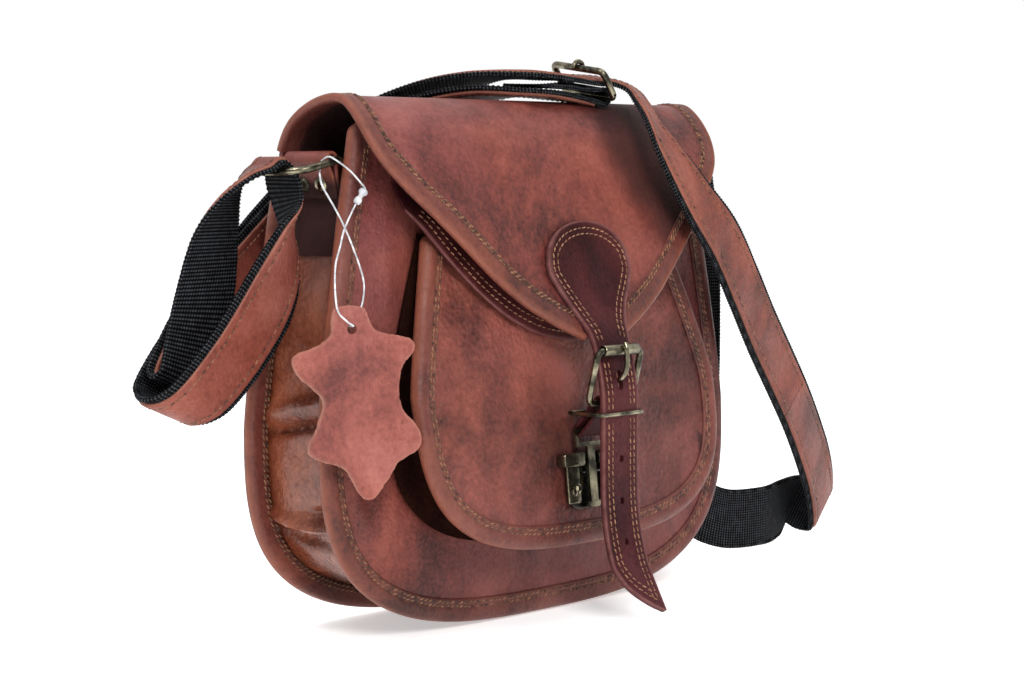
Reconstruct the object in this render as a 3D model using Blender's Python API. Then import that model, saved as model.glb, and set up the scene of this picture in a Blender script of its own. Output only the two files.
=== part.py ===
# Crossbody satchel in brown leather, modelled piece by piece.
# Metres, +Z up. X runs across the bag, the front faces -Y.
# The origin is the middle of the back panel's bottom edge, on its outer face.

import math

import bmesh
import bpy
from mathutils import Vector

# Bag body
BAG_WIDTH = 0.280
BODY_DEPTH = 0.0592
BODY_TAPER = 0.0086
TOP_WIDTH = 0.232
WIDEST_HEIGHT = 0.093
FLAP_HEIGHT = 0.243
PANEL_UNDER_FLAP = 0.012
BACK_UNDER_FLAP = 0.029
PANEL_HEIGHT = FLAP_HEIGHT - PANEL_UNDER_FLAP
BACK_HEIGHT = FLAP_HEIGHT - BACK_UNDER_FLAP
PANEL_LEATHER = 0.002
GUSSET_LEATHER = 0.0014
LINING_CLOTH = 0.0008
WELT_LEATHER = 0.0012
WELT_WIDTH = 0.009
SEAT_FLAT = 0.0006
GAP = 0.0003
GUSSET_INSET = 0.0105
GUSSET_UNDER_BACK = 0.013
LINING_UNDER_BACK = 0.007
GUSSET_TOP = BACK_HEIGHT - GUSSET_UNDER_BACK
LINING_TOP = BACK_HEIGHT - LINING_UNDER_BACK

# Front pocket
POCKET_WIDTH = 0.209
POCKET_TOP_WIDTH = 0.165
POCKET_BOTTOM = 0.0354
POCKET_UNDER_FLAP = 0.061
POCKET_TOP = FLAP_HEIGHT - POCKET_UNDER_FLAP
POCKET_WIDEST = 0.1095
POCKET_DEPTH = 0.0296
POCKET_TOP_DEPTH = 0.0092
POCKET_BULGE = 0.007
POCKET_BULGE_FROM = 0.060
POCKET_FLAP_WIDTH = 0.190
POCKET_FLAP_RISE = 0.025
POCKET_FLAP_LENGTH = 0.076
POCKET_FLAP_SIDE = 0.015
POCKET_FLAP_TOP = POCKET_TOP + POCKET_FLAP_RISE
POCKET_FLAP_TIP = POCKET_FLAP_TOP - POCKET_FLAP_LENGTH
POCKET_FLAP_CORNER = POCKET_FLAP_TOP - POCKET_FLAP_SIDE
POCKET_FLAP_LEATHER = 0.0018
POCKET_FLAP_CLEAR = 0.0009
POCKET_FLAP_SEAT = 0.0006

# Main flap
FLAP_LEATHER = 0.0022
FLAP_PIPING = 0.0018
FLAP_PIPING_GAP = 0.0003

# Closure strap and its hardware
STRAP_WIDTH = 0.0245
STRAP_LEATHER = 0.0024
PATCH_GAP = 0.0005
PATCH_LIFT = 0.0013
BUCKLE_WIRE = 0.0032
BUCKLE_INSIDE = 0.0275
ROLLER_WALL = 0.0007
ROLLER_GAP = 0.0004
PRONG_WIRE = 0.0022
PRONG_HOLE_LENGTH = 0.009
PRONG_HOLE_WIDTH = 0.0036
TAB_WIDTH = 0.016
TAB_LEATHER = 0.0015
KEEPER_WIRE = 0.0020
KEEPER_ROOM = 0.0022
KEEPER_UNDER_HEEL = 0.0050
KEEPER_SLACK = 0.0024

# Pinch clip, in its own frame on the pocket front
CLIP_HEIGHT = 0.032
CLIP_WIDTH = 0.030
CLIP_LOW = 0.052
CLIP_STEEL = 0.0014
TONGUE_WIDTH = 0.0100
TONGUE_NECK = 0.0050
TONGUE_WIRE = 0.0020
TONGUE_LOOP_HEIGHT = 0.0085
LEVER_WIDTH = 0.0085
PAD_WIDTH = 0.0130
PAD_HEIGHT = 0.0070
PAD_DEPTH = 0.0070
PIN_RADIUS = 0.0013
PIN_SHOULDER = 0.0022
PIN_HEAD = 0.0006
SPRING_WIRE = 0.0008

# Rings and their tabs
RING_INSIDE = 0.033
RING_REACH = 0.0235
RING_WIRE = 0.0034
RING_OVER_BACK = 0.0005
RING_HEIGHT = BACK_HEIGHT + RING_OVER_BACK
RING_DROOP = 0.0055
RING_TAB_WIDTH = 0.028
RING_TAB_LEATHER = 0.0018
RING_TAB_LENGTH = 0.0425
RING_TAB_FREE = 0.0265
RING_TAB_LOW = RING_HEIGHT - RING_TAB_LENGTH
RING_TAB_LEAVES = RING_HEIGHT - RING_TAB_FREE
RING_TAB_STAND = 0.0097
RING_FORWARD = 0.0029
RING_TAB_NECK = 0.0070
RING_TAB_RETURN = 0.0170
DOME_RADIUS = 0.0036
DOME_RISE = 0.0020
DOME_DROP = 0.0108

# Shoulder strap
WEBBING_WIDTH = 0.032
WEBBING_THICK = 0.0018
FACING_WIDTH = 0.026
FACING_THICK = 0.0014
FACING_GAP = 0.0007
LAP_HEIGHT = 0.0885
SLIDE_WIRE = 0.0034
SLIDE_ROOM = 0.0005
PINCH_REACH = 0.020
# The strap's loops at the rings: what one share is across and up, and the shares at a ring's bar
LOOP_WIDTH = 0.140
LOOP_HEIGHT = 0.243
BAR_ACROSS_SHARE = 0.87522
BAR_UP_SHARE = 0.88272

# Hang tag
TAG_WIDTH = 0.060
TAG_HEIGHT = 0.083
TAG_LEATHER = 0.0018
TAG_HOLE = 0.0046
TAG_CORD = 0.0010

# Counts that set how fine the meshes are
CORNER_STEPS = 14
SIDE_STEPS = 6
ROUND_SIDES = 10
CURVE_STEPS = 3
FLAP_COLUMNS = 12
POCKET_FLAP_COLUMNS = 14
POCKET_FLAP_ROWS = 12
CLOSURE_COLUMNS = 4

# Shapes of the outlines
PANEL_CORNER_POWER = 3.06
PANEL_SIDE_POWER = 1.25
POCKET_CORNER_POWER = 3.09
POCKET_SIDE_POWER = 1.15
POCKET_DEPTH_POWER = 1.5
POCKET_BULGE_POWER = 1.3
POCKET_FLAP_POWER = 2.2


def material(name, colour, roughness, metallic):
    """One Principled material."""
    made = bpy.data.materials.new(name)
    made.use_nodes = True
    made.diffuse_color = (*colour, 1.0)
    shader = made.node_tree.nodes["Principled BSDF"]
    shader.inputs["Base Color"].default_value = (*colour, 1.0)
    shader.inputs["Roughness"].default_value = roughness
    shader.inputs["Metallic"].default_value = metallic
    return made


def clear_scene():
    """Remove whatever the file opened with."""
    for old in list(bpy.data.objects):
        bpy.data.objects.remove(old, do_unlink=True)


def build(name, points, faces, finish, smooth=True):
    """A closed mesh from points and faces, with its faces turned outwards."""
    mesh = bpy.data.meshes.new(name)
    mesh.from_pydata([tuple(p) for p in points], [], faces)
    mesh.update()
    shape = bmesh.new()
    shape.from_mesh(mesh)
    bmesh.ops.recalc_face_normals(shape, faces=shape.faces)
    shape.to_mesh(mesh)
    shape.free()
    mesh.materials.append(finish)
    if smooth:
        mesh.shade_smooth()
        mesh.set_sharp_from_angle(angle=math.radians(40))
    made = bpy.data.objects.new(name, mesh)
    bpy.context.scene.collection.objects.link(made)
    return made


def cut(target, cutter):
    """Cut one solid out of another with a Boolean that stays live."""
    cutter.hide_render = True
    cutter.display_type = "WIRE"
    step = target.modifiers.new("cut_" + cutter.name, "BOOLEAN")
    step.operation = "DIFFERENCE"
    step.solver = "EXACT"
    step.object = cutter


def loft(name, rings, finish, closed=False, smooth=True):
    """Skin a list of equal closed rings, with a cap at each end unless the run is closed."""
    count = len(rings[0])
    points = [p for ring in rings for p in ring]
    faces = []
    spans = len(rings) if closed else len(rings) - 1
    for i in range(spans):
        a, b = i * count, (i + 1) % len(rings) * count
        for k in range(count):
            n = (k + 1) % count
            faces.append((a + k, a + n, b + n, b + k))
    if not closed:
        last = (len(rings) - 1) * count
        faces.append(tuple(range(count))[::-1])
        faces.append(tuple(last + k for k in range(count)))
    return build(name, points, faces, finish, smooth)


def sheet(name, rows, thickness, finish):
    """A sheet through a grid of points, thickened to the side that its faces turn away from."""
    width = len(rows[0])
    points = [p for row in rows for p in row]
    faces = []
    for i in range(len(rows) - 1):
        for k in range(width - 1):
            a = i * width + k
            faces.append((a, a + 1, a + width + 1, a + width))
    mesh = bpy.data.meshes.new(name)
    mesh.from_pydata([tuple(p) for p in points], [], faces)
    mesh.materials.append(finish)
    mesh.shade_smooth()
    made = bpy.data.objects.new(name, mesh)
    bpy.context.scene.collection.objects.link(made)
    wall = made.modifiers.new("leather", "SOLIDIFY")
    wall.thickness = thickness
    wall.offset = -1
    wall.use_even_offset = True
    wall.use_rim = True
    made.modifiers.new("facets", "TRIANGULATE")
    return made


def smooth_run(knots, steps):
    """Points on a Catmull-Rom curve through the knots; steps is one count, or one for each span."""
    out = []
    counts = steps if isinstance(steps, list) else [steps] * (len(knots) - 1)
    for i, steps in enumerate(counts):
        before = knots[max(i - 1, 0)]
        start, end = knots[i], knots[i + 1]
        after = knots[min(i + 2, len(knots) - 1)]
        for k in range(steps):
            t = k / steps
            out.append(
                [
                    0.5
                    * (
                        2 * s
                        + (e - b) * t
                        + (2 * b - 5 * s + 4 * e - a) * t * t
                        + (3 * s - b - 3 * e + a) * t**3
                    )
                    for b, s, e, a in zip(before, start, end, after)
                ]
            )
    out.append(list(knots[-1]))
    return out


def tube(name, path, radius, finish, closed=False, sides=ROUND_SIDES):
    """A round wire along a path of points."""
    path = [Vector(p) for p in path]
    last = len(path) - 1
    rings = []
    up = None
    for i, here in enumerate(path):
        if closed:
            along = path[(i + 1) % len(path)] - path[i - 1]
        else:
            along = path[min(i + 1, last)] - path[max(i - 1, 0)]
        along.normalize()
        if up is None:
            up = along.orthogonal().normalized()
        up = (up - along * up.dot(along)).normalized()
        side = along.cross(up)
        turn = [math.tau * k / sides for k in range(sides)]
        rings.append([here + radius * (up * math.cos(a) + side * math.sin(a)) for a in turn])
    if closed:
        # Twist the last rings so that the wire meets its own start.
        start, end = rings[0][0] - path[0], rings[-1][0] - path[-1]
        nearest = min(range(sides), key=lambda k: (rings[-1][k] - path[-1] - start).length)
        if nearest and (end - start).length > radius / 2:
            rings = unwind(path, rings, nearest, sides, radius)
    return loft(name, rings, finish, closed)


def unwind(path, rings, slip, sides, radius):
    """Spread the slip between the first and the last ring of a closed wire over its length."""
    out = []
    for i, ring in enumerate(rings):
        here = path[i]
        first, second = ring[0] - here, ring[sides // 4] - here
        along = first.cross(second).normalized()
        side = along.cross(first.normalized())
        lead = (slip if slip <= sides / 2 else slip - sides) * math.tau / sides * i / (len(rings) - 1)
        turn = [math.tau * k / sides + lead for k in range(sides)]
        across = first.normalized()
        out.append([here + radius * (across * math.cos(a) + side * math.sin(a)) for a in turn])
    return out


def rod(name, start, end, radius, finish, sides=ROUND_SIDES):
    """A straight round bar."""
    return tube(name, [start, end], radius, finish, sides=sides)


def slab(name, outline, place, low, high, finish, smooth=False):
    """An outline in a plane, given thickness from low to high; place maps (a, b, height) to a point."""
    rings = [[place(a, b, low) for a, b in outline], [place(a, b, high) for a, b in outline]]
    return loft(name, rings, finish, smooth=smooth)


# Outlines of the panels and of the pocket


def half_outline(half_wide, half_top, low, widest, top, corner_power, side_power):
    """Half of a panel's edge, as (x, z) from the middle of the bottom to the top corner."""
    points = []
    for i in range(CORNER_STEPS + 1):
        turn = math.pi / 2 * i / CORNER_STEPS
        x = half_wide * math.sin(turn) ** (2 / corner_power)
        z = low + (widest - low) * (1 - max(math.cos(turn), 0) ** (2 / corner_power))
        points.append((x, z))
    for i in range(1, SIDE_STEPS + 1):
        share = i / SIDE_STEPS
        x = half_wide + (half_top - half_wide) * share**side_power
        points.append((x, widest + (top - widest) * share))
    return points


def panel_half(top=PANEL_HEIGHT):
    """Half of the main panels' edge, cut off at the height asked for."""
    share = (top - WIDEST_HEIGHT) / (PANEL_HEIGHT - WIDEST_HEIGHT)
    half_top = BAG_WIDTH / 2 + (TOP_WIDTH - BAG_WIDTH) / 2 * share**PANEL_SIDE_POWER
    return half_outline(
        BAG_WIDTH / 2, half_top, 0, WIDEST_HEIGHT, top, PANEL_CORNER_POWER, PANEL_SIDE_POWER
    )


def pocket_half():
    """Half of the pocket's edge."""
    return half_outline(
        POCKET_WIDTH / 2,
        POCKET_TOP_WIDTH / 2,
        POCKET_BOTTOM,
        POCKET_WIDEST,
        POCKET_TOP,
        POCKET_CORNER_POWER,
        POCKET_SIDE_POWER,
    )


def full_edge(half):
    """The whole edge from the left top corner round the bottom to the right one, with its inward normals."""
    points = [(-x, z) for x, z in reversed(half[1:])] + list(half)
    edge = []
    for i, (x, z) in enumerate(points):
        before, after = points[max(i - 1, 0)], points[min(i + 1, len(points) - 1)]
        run = Vector((after[0] - before[0], after[1] - before[1])).normalized()
        edge.append((x, z, -run.y, run.x))
    return edge


def inset_half(half, inset):
    """Half an edge moved inwards."""
    edge = full_edge(half)
    moved = [(x + nx * inset, z + nz * inset) for x, z, nx, nz in edge[len(half) - 1 :]]
    return [(max(x, 0), z) for x, z in moved]


def front_y(z):
    """The front panel's outer plane, which leans back towards its top."""
    return -(BODY_DEPTH - BODY_TAPER * z / PANEL_HEIGHT)


def pocket_y(z):
    """The outer plane of the pocket's welted edge."""
    share = min(max((z - POCKET_BOTTOM) / (POCKET_TOP - POCKET_BOTTOM), 0), 1)
    depth = POCKET_DEPTH + (POCKET_TOP_DEPTH - POCKET_DEPTH) * share**POCKET_DEPTH_POWER
    return front_y(z) - depth


def pocket_bulge(share, z):
    """How far the pocket's face swells past its edge; share runs from -1 to 1 across it."""
    lift = min(max((z - POCKET_BULGE_FROM) / (POCKET_TOP - POCKET_BULGE_FROM), 0), 1)
    return POCKET_BULGE * lift**POCKET_BULGE_POWER * (1 - min(share * share, 1))


def plane_y(plane, z, height):
    """Y of a layer at a height in from the outer plane it is counted from."""
    if plane == "back":
        return -height
    if plane == "front":
        return front_y(z) + height
    return pocket_y(z) + height


def edge_strip(name, edge, section, finish):
    """A strip whose section, a list of (inset, plane, height), follows an edge."""
    rings = []
    for x, z, nx, nz in edge:
        ring = []
        for inset, plane, height in section:
            depth_at = z + nz * inset
            ring.append((x + nx * inset, plane_y(plane, depth_at, height), depth_at))
        rings.append(ring)
    return loft(name, rings, finish)


LIP = WELT_LEATHER
PANEL_AT = LIP + GAP
FLANGE_AT = PANEL_AT + PANEL_LEATHER + GAP
INNER_LIP_AT = FLANGE_AT + GUSSET_LEATHER + GAP
WELT_THICK = INNER_LIP_AT + LIP
WELT_FLOOR = LIP + GAP
WELT_ROUND = 0.0009


def welt_section(plane):
    """A folded strip that takes the panel's edge and the gusset's flange in its groove."""
    return [
        (WELT_WIDTH, plane, 0),
        (WELT_ROUND, plane, 0),
        (0, plane, WELT_ROUND),
        (0, plane, WELT_THICK - WELT_ROUND),
        (WELT_ROUND, plane, WELT_THICK),
        (WELT_WIDTH, plane, WELT_THICK),
        (WELT_WIDTH, plane, INNER_LIP_AT),
        (WELT_FLOOR, plane, INNER_LIP_AT),
        (WELT_FLOOR, plane, LIP),
        (WELT_WIDTH, plane, LIP),
    ]


def seated(edge):
    """The same edge with its lowest stretch cut flat, where the bag stands."""
    return [(x, max(z, SEAT_FLAT) - SEAT_FLAT, nx, nz) for x, z, nx, nz in edge]


def flat_panel(name, half, plane, finish):
    """A panel of leather that ends inside its welt."""
    inner = inset_half(half, WELT_FLOOR + GAP)
    outline = [(-x, z) for x, z in reversed(inner[1:])] + inner

    def place(x, z, height):
        return (x, plane_y(plane, z, height), z)

    return slab(name, outline, place, PANEL_AT, PANEL_AT + PANEL_LEATHER, finish)


def make_body(leather, welt_leather, soft_leather, cloth):
    """Back and front panels, their welts, the gusset between them and the lining inside."""
    flat_panel("back_panel", panel_half(BACK_HEIGHT), "back", leather)
    flat_panel("front_panel", panel_half(), "front", leather)
    back_edge, front_edge = full_edge(panel_half(BACK_HEIGHT)), full_edge(panel_half())
    edge_strip("back_welt", seated(back_edge), welt_section("back"), welt_leather)
    edge_strip("front_welt", seated(front_edge), welt_section("front"), welt_leather)
    inner = GUSSET_INSET + GUSSET_LEATHER
    flange = WELT_FLOOR + GAP
    section = [
        (flange, "back", FLANGE_AT),
        (inner, "back", FLANGE_AT),
        (inner, "front", FLANGE_AT),
        (flange, "front", FLANGE_AT),
        (flange, "front", FLANGE_AT + GUSSET_LEATHER),
        (GUSSET_INSET, "front", FLANGE_AT + GUSSET_LEATHER),
        (GUSSET_INSET, "back", FLANGE_AT + GUSSET_LEATHER),
        (flange, "back", FLANGE_AT + GUSSET_LEATHER),
    ]
    edge_strip("main_gusset", full_edge(panel_half(GUSSET_TOP)), section, soft_leather)
    make_lining(inner + GAP, cloth)


def make_lining(inset, cloth):
    """A sewn pouch inside the compartment, open at its top."""
    half = panel_half(LINING_TOP)
    outer, inner = inset_half(half, inset), inset_half(half, inset + LINING_CLOTH)
    skin = [(-x, z) for x, z in reversed(outer[1:])] + outer
    hollow = [(-x, z) for x, z in reversed(inner[1:])] + inner
    rings = [
        [(x, plane_y("back", z, FLANGE_AT + LINING_CLOTH), z) for x, z in hollow],
        [(x, plane_y("back", z, FLANGE_AT), z) for x, z in skin],
        [(x, plane_y("front", z, FLANGE_AT), z) for x, z in skin],
        [(x, plane_y("front", z, FLANGE_AT + LINING_CLOTH), z) for x, z in hollow],
    ]
    count = len(skin)
    points = [p for ring in rings for p in ring]
    faces = [tuple(count + k for k in range(count)), tuple(2 * count + k for k in range(count))]
    faces += [tuple(range(count)), tuple(3 * count + k for k in range(count))]
    for k in range(count - 1):
        faces.append((count + k, count + k + 1, 2 * count + k + 1, 2 * count + k))
        faces.append((k, k + 1, 3 * count + k + 1, 3 * count + k))
    last = count - 1
    faces.append((0, last, count + last, count))
    faces.append((3 * count, 3 * count + last, 2 * count + last, 2 * count))
    faces.append((0, count, 2 * count, 3 * count))
    faces.append((last, count + last, 2 * count + last, 3 * count + last))
    build("lining", points, faces, cloth, smooth=False)


def make_pocket(leather, welt_leather, dark_leather):
    """The front pocket: its swelling face, welt, gusset and flap."""
    half = pocket_half()
    edge = full_edge(half)
    edge_strip("pocket_welt", edge, welt_section("pocket"), welt_leather)
    inner = inset_half(half, WELT_FLOOR + GAP)
    shares = POCKET_FACE_SHARES
    shares = [-share for share in reversed(shares[1:])] + shares
    rows = []
    for x, z in inner[2:]:
        row = []
        for share in shares:
            y = plane_y("pocket", z, PANEL_AT) - pocket_bulge(share / POCKET_FACE_SHARES[-2], z)
            row.append((x * share, y, z))
        rows.append(row)
    sheet("pocket_front", rows, PANEL_LEATHER, leather)
    wall = GUSSET_INSET
    flange = WELT_FLOOR + GAP
    on_panel = PANEL_AT - GAP
    section = [
        (flange, "pocket", FLANGE_AT),
        (wall + GUSSET_LEATHER, "pocket", FLANGE_AT),
        (wall + GUSSET_LEATHER, "front", on_panel),
        (0, "front", on_panel),
        (0, "front", on_panel - GUSSET_LEATHER),
        (wall, "front", on_panel - GUSSET_LEATHER),
        (wall, "pocket", FLANGE_AT + GUSSET_LEATHER),
        (flange, "pocket", FLANGE_AT + GUSSET_LEATHER),
    ]
    edge_strip("pocket_gusset", edge, section, dark_leather)
    make_pocket_flap(dark_leather)


# The pocket's face has its folds at these shares of its half width, and swells inside the last but one.
POCKET_FACE_SHARES = [0, 0.24, 0.47, 0.7, 0.9, 1]


def pocket_flap_front(x, z):
    """Y of the pocket flap's outer face."""
    half_pocket = POCKET_WIDTH / 2
    over = pocket_y(min(z, POCKET_TOP)) - front_y(min(z, POCKET_TOP)) - pocket_bulge(x / half_pocket, z)
    low = -(POCKET_FLAP_SEAT + POCKET_FLAP_LEATHER) + PANEL_AT
    if z > POCKET_TOP:
        share = (POCKET_FLAP_TOP - z) / (POCKET_FLAP_TOP - POCKET_TOP)
        ease = share * share * (3 - 2 * share)
        over = low + (over - POCKET_FLAP_CLEAR - POCKET_FLAP_LEATHER - low) * ease
    else:
        over = over - POCKET_FLAP_CLEAR - POCKET_FLAP_LEATHER
    return front_y(z) + over


def make_pocket_flap(dark_leather):
    """The flap that covers the pocket's mouth, under the main flap."""
    across, down = POCKET_FLAP_COLUMNS, POCKET_FLAP_ROWS
    rows = []
    for i in range(down + 1):
        row = []
        for k in range(across + 1):
            share = 2 * k / across - 1
            x = POCKET_FLAP_WIDTH / 2 * share
            drop = POCKET_FLAP_CORNER - POCKET_FLAP_TIP
            low = POCKET_FLAP_TIP + drop * abs(share) ** POCKET_FLAP_POWER
            z = low + (POCKET_FLAP_TOP - low) * i / down
            row.append((x, pocket_flap_front(x, z), z))
        rows.append(row)
    sheet("pocket_flap", rows, POCKET_FLAP_LEATHER, dark_leather)


# The main flap: for each row its place forward as a share of the body's depth, its height as a share
# of the flap's height, and its half width as a share of the bag's width. The rows run from the root
# on the back panel over the top and down the front to the tip.
FLAP_SHARES = [
    (0.030, 0.8835, 0.4215),
    (0.055, 0.9075, 0.4215),
    (0.135, 0.9400, 0.4230),
    (0.253, 0.9650, 0.4250),
    (0.422, 0.9870, 0.4250),
    (0.608, 0.9985, 0.4250),
    (0.777, 0.9980, 0.4250),
    (0.912, 0.9855, 0.4250),
    (1.030, 0.9580, 0.4250),
    (1.123, 0.9218, 0.4215),
    (1.191, 0.8807, 0.4070),
    (1.247, 0.8354, 0.3730),
    (1.311, 0.7819, 0.3250),
    (1.368, 0.7263, 0.2720),
    (1.419, 0.6728, 0.2215),
    (1.478, 0.6235, 0.1660),
    (1.537, 0.5823, 0.1040),
    (1.588, 0.5514, 0.0440),
]
FLAP_DROOP_SHARES = [0, 0, 0, 0, 0, 0, 0.025, 0.06, 0.068, 0.06, 0.042, 0.025, 0, 0, 0, 0, 0, 0]


def flap_rows(across):
    """The grid of the main flap's outer face."""
    rows = []
    for (forward, up, half), droop in zip(FLAP_SHARES, FLAP_DROOP_SHARES):
        row = []
        for k in range(across + 1):
            share = 2 * k / across - 1
            y = -(forward - droop * share * share) * BODY_DEPTH
            row.append((half * BAG_WIDTH * share, y, up * FLAP_HEIGHT))
        rows.append(row)
    return rows


def make_main_flap(leather, welt_leather):
    """The flap and the folded strip that finishes its edge."""
    rows = flap_rows(FLAP_COLUMNS)
    sheet("main_flap", [row[::-1] for row in rows], FLAP_LEATHER, leather)
    # The edging runs down one side, round the tip and up the other, just outside the leather.
    sides = rows[1:]
    left = [Vector(row[0]) for row in sides]
    right = [Vector(row[-1]) for row in sides]
    tip = [Vector(p) for p in rows[-1][2:-1:2]]
    path = left + tip + right[::-1]
    middle = [sum((Vector(p) for p in row), Vector()) / len(row) for row in sides]
    centre = middle + [middle[-2]] * len(tip) + middle[::-1]
    rings = []
    for i, here in enumerate(path):
        along = (path[min(i + 1, len(path) - 1)] - path[max(i - 1, 0)]).normalized()
        inward = centre[i] - here
        inward = (inward - along * inward.dot(along)).normalized()
        up = along.cross(inward).normalized()
        near, far = -FLAP_PIPING_GAP, -FLAP_PIPING_GAP - FLAP_PIPING
        low, high = -FLAP_LEATHER - WELT_ROUND / 2, WELT_ROUND / 2
        shape = [(near, low), (near, high), (far / 2, high), (far, high / 2 + low / 4)]
        shape += [(far, low * 3 / 4 + high / 4), (far / 2, low)]
        rings.append([here + inward * a + up * b for a, b in shape])
    loft("flap_welt", rings, welt_leather)


# The closure strap. Its head is a patch sewn to the flap: height, half width and lift off the flap
# of each row. Below the flap's tip it hangs free: height, forward place and half width. Heights are
# shares of the flap's height, forward places of the body's depth, half widths of the strap's width
# and lifts of PATCH_LIFT.
PATCH_SHARES = [
    (0.7660, 0.40, 0),
    (0.7560, 0.72, 0),
    (0.7350, 0.98, 0),
    (0.7050, 1.14, 0),
    (0.6720, 1.16, 0),
    (0.6420, 1.02, 0),
    (0.6120, 0.82, 0),
    (0.5820, 0.64, 0.4),
    (0.5600, 0.54, 1),
]
CLOSURE_SHARES = [
    (0.5470, 1.6650, 0.52),
    (0.5300, 1.6900, 0.50),
    (0.4900, 1.7350, 0.50),
    (0.4450, 1.7700, 0.50),
    (0.4050, 1.7740, 0.50),
    (0.3500, 1.7760, 0.50),
    (0.2900, 1.7760, 0.50),
    (0.2300, 1.7860, 0.50),
    (0.1700, 1.8200, 0.50),
    (0.1100, 1.8950, 0.50),
    (0.0650, 1.9900, 0.46),
    (0.0380, 2.0550, 0.24),
    (0.0260, 2.0850, 0.05),
]
PRONG_AT_SHARE = 0.466
STRAP_HOLES_SHARES = [0.316, 0.235, 0.158]
STRAP_HOLE = 0.0032


def flap_front(z):
    """Y of the flap's outer face on its front, at a height."""
    rows = [(up * FLAP_HEIGHT, -forward * BODY_DEPTH) for forward, up, half in FLAP_SHARES[6:]]
    for (high, high_y), (low, low_y) in zip(rows, rows[1:]):
        if z >= low:
            return high_y + (low_y - high_y) * (high - z) / (high - low)
    return rows[-1][1]


def closure_run():
    """Height, Y of the outer face and half width down the closure strap's middle."""
    knots = []
    for up, half, lift in PATCH_SHARES:
        z = up * FLAP_HEIGHT
        y = flap_front(z) - PATCH_GAP - STRAP_LEATHER - lift * PATCH_LIFT
        knots.append((z, y, half * STRAP_WIDTH))
    for up, forward, half in CLOSURE_SHARES:
        knots.append((up * FLAP_HEIGHT, -forward * BODY_DEPTH, half * STRAP_WIDTH))
    return knots


def closure_rows(across):
    """The grid of the closure strap's outer face."""
    rows = []
    for z, y, half in closure_run():
        rows.append([(half * (1 - 2 * k / across), y, z) for k in range(across + 1)])
    return rows


def closure_y(height):
    """Y of the closure strap's outer face at a height."""
    run = closure_run()
    for (high, high_y, _), (low, low_y, _) in zip(run, run[1:]):
        if height >= low:
            return high_y + (low_y - high_y) * (high - height) / (high - low)
    return run[-1][1]


def make_closure(dark_leather, brass):
    """The strap sewn to the flap, with a slot for the prong and three round holes."""
    strap = sheet("closure_strap", closure_rows(CLOSURE_COLUMNS), STRAP_LEATHER, dark_leather)
    height = PRONG_AT_SHARE * FLAP_HEIGHT
    deep = 2 * STRAP_LEATHER
    cut(strap, slot_mesh("prong_slot", height, closure_y(height), deep, PRONG_HOLE_WIDTH, PRONG_HOLE_LENGTH))
    for k, share in enumerate(STRAP_HOLES_SHARES):
        height = share * FLAP_HEIGHT
        hole = slot_mesh("strap_hole_%d" % k, height, closure_y(height), deep, STRAP_HOLE, STRAP_HOLE)
        cut(strap, hole)
    make_buckle(brass)


def slot_mesh(name, height, y, deep, width, length):
    """A round-ended cutter that runs front to back."""
    outline = []
    for k in range(ROUND_SIDES):
        turn = math.tau * (k + 0.5) / ROUND_SIDES
        lift = (length - width) / 2 * (1 if math.sin(turn) > 0 else -1)
        outline.append((width / 2 * math.cos(turn), height + width / 2 * math.sin(turn) + lift))

    def place(x, z, depth):
        return (x, depth, z)

    return slab(name, outline, place, y - deep, y + deep, None)


# Heights and forward places of the buckle's two bars, as shares of the flap's height and body's depth
ROLLER_SHARES = (0.5240, 1.7600)
HEEL_SHARES = (0.4230, 1.6560)


def at_shares(shares):
    """The (y, z) of a pair of shares, height first."""
    return -shares[1] * BODY_DEPTH, shares[0] * FLAP_HEIGHT


def rounded_frame(corners, corner_radius, steps=3):
    """A closed path round four corners in a plane, with each corner rounded."""
    path = []
    for i, corner in enumerate(corners):
        before = (corners[i - 1] - corner).normalized() * corner_radius
        after = (corners[(i + 1) % 4] - corner).normalized() * corner_radius
        start, end = corner + before, corner + after
        for k in range(steps + 1):
            t = k / steps
            path.append(start * (1 - t) ** 2 + corner * 2 * t * (1 - t) + end * t * t)
    return path


def make_buckle(brass):
    """The roller buckle, its prong, and the wire keeper below it."""
    roller_y, roller_z = at_shares(ROLLER_SHARES)
    heel_y, heel_z = at_shares(HEEL_SHARES)
    wire = BUCKLE_WIRE / 2
    half = BUCKLE_INSIDE / 2 + wire
    corners = [
        Vector((-half, roller_y, roller_z)),
        Vector((half, roller_y, roller_z)),
        Vector((half, heel_y, heel_z)),
        Vector((-half, heel_y, heel_z)),
    ]
    tube("closure_buckle_frame", rounded_frame(corners, BUCKLE_WIRE), wire, brass, closed=True, sides=8)
    make_roller(roller_y, roller_z, brass)
    make_prong(roller_y, roller_z, heel_y, heel_z, brass)


def make_roller(y, z, brass):
    """A thin tube that turns on the buckle's top bar."""
    inner = BUCKLE_WIRE / 2 + ROLLER_GAP
    outer = inner + ROLLER_WALL
    half = BUCKLE_INSIDE / 2 - BUCKLE_WIRE / 2 - GAP
    sides = 12
    rings = []
    for radius, x in ((inner, -half), (outer, -half), (outer, half), (inner, half)):
        turns = [math.tau * k / sides for k in range(sides)]
        rings.append([(x, y + radius * math.cos(a), z + radius * math.sin(a)) for a in turns])
    loft("buckle_roller", rings, brass, closed=True)


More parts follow.
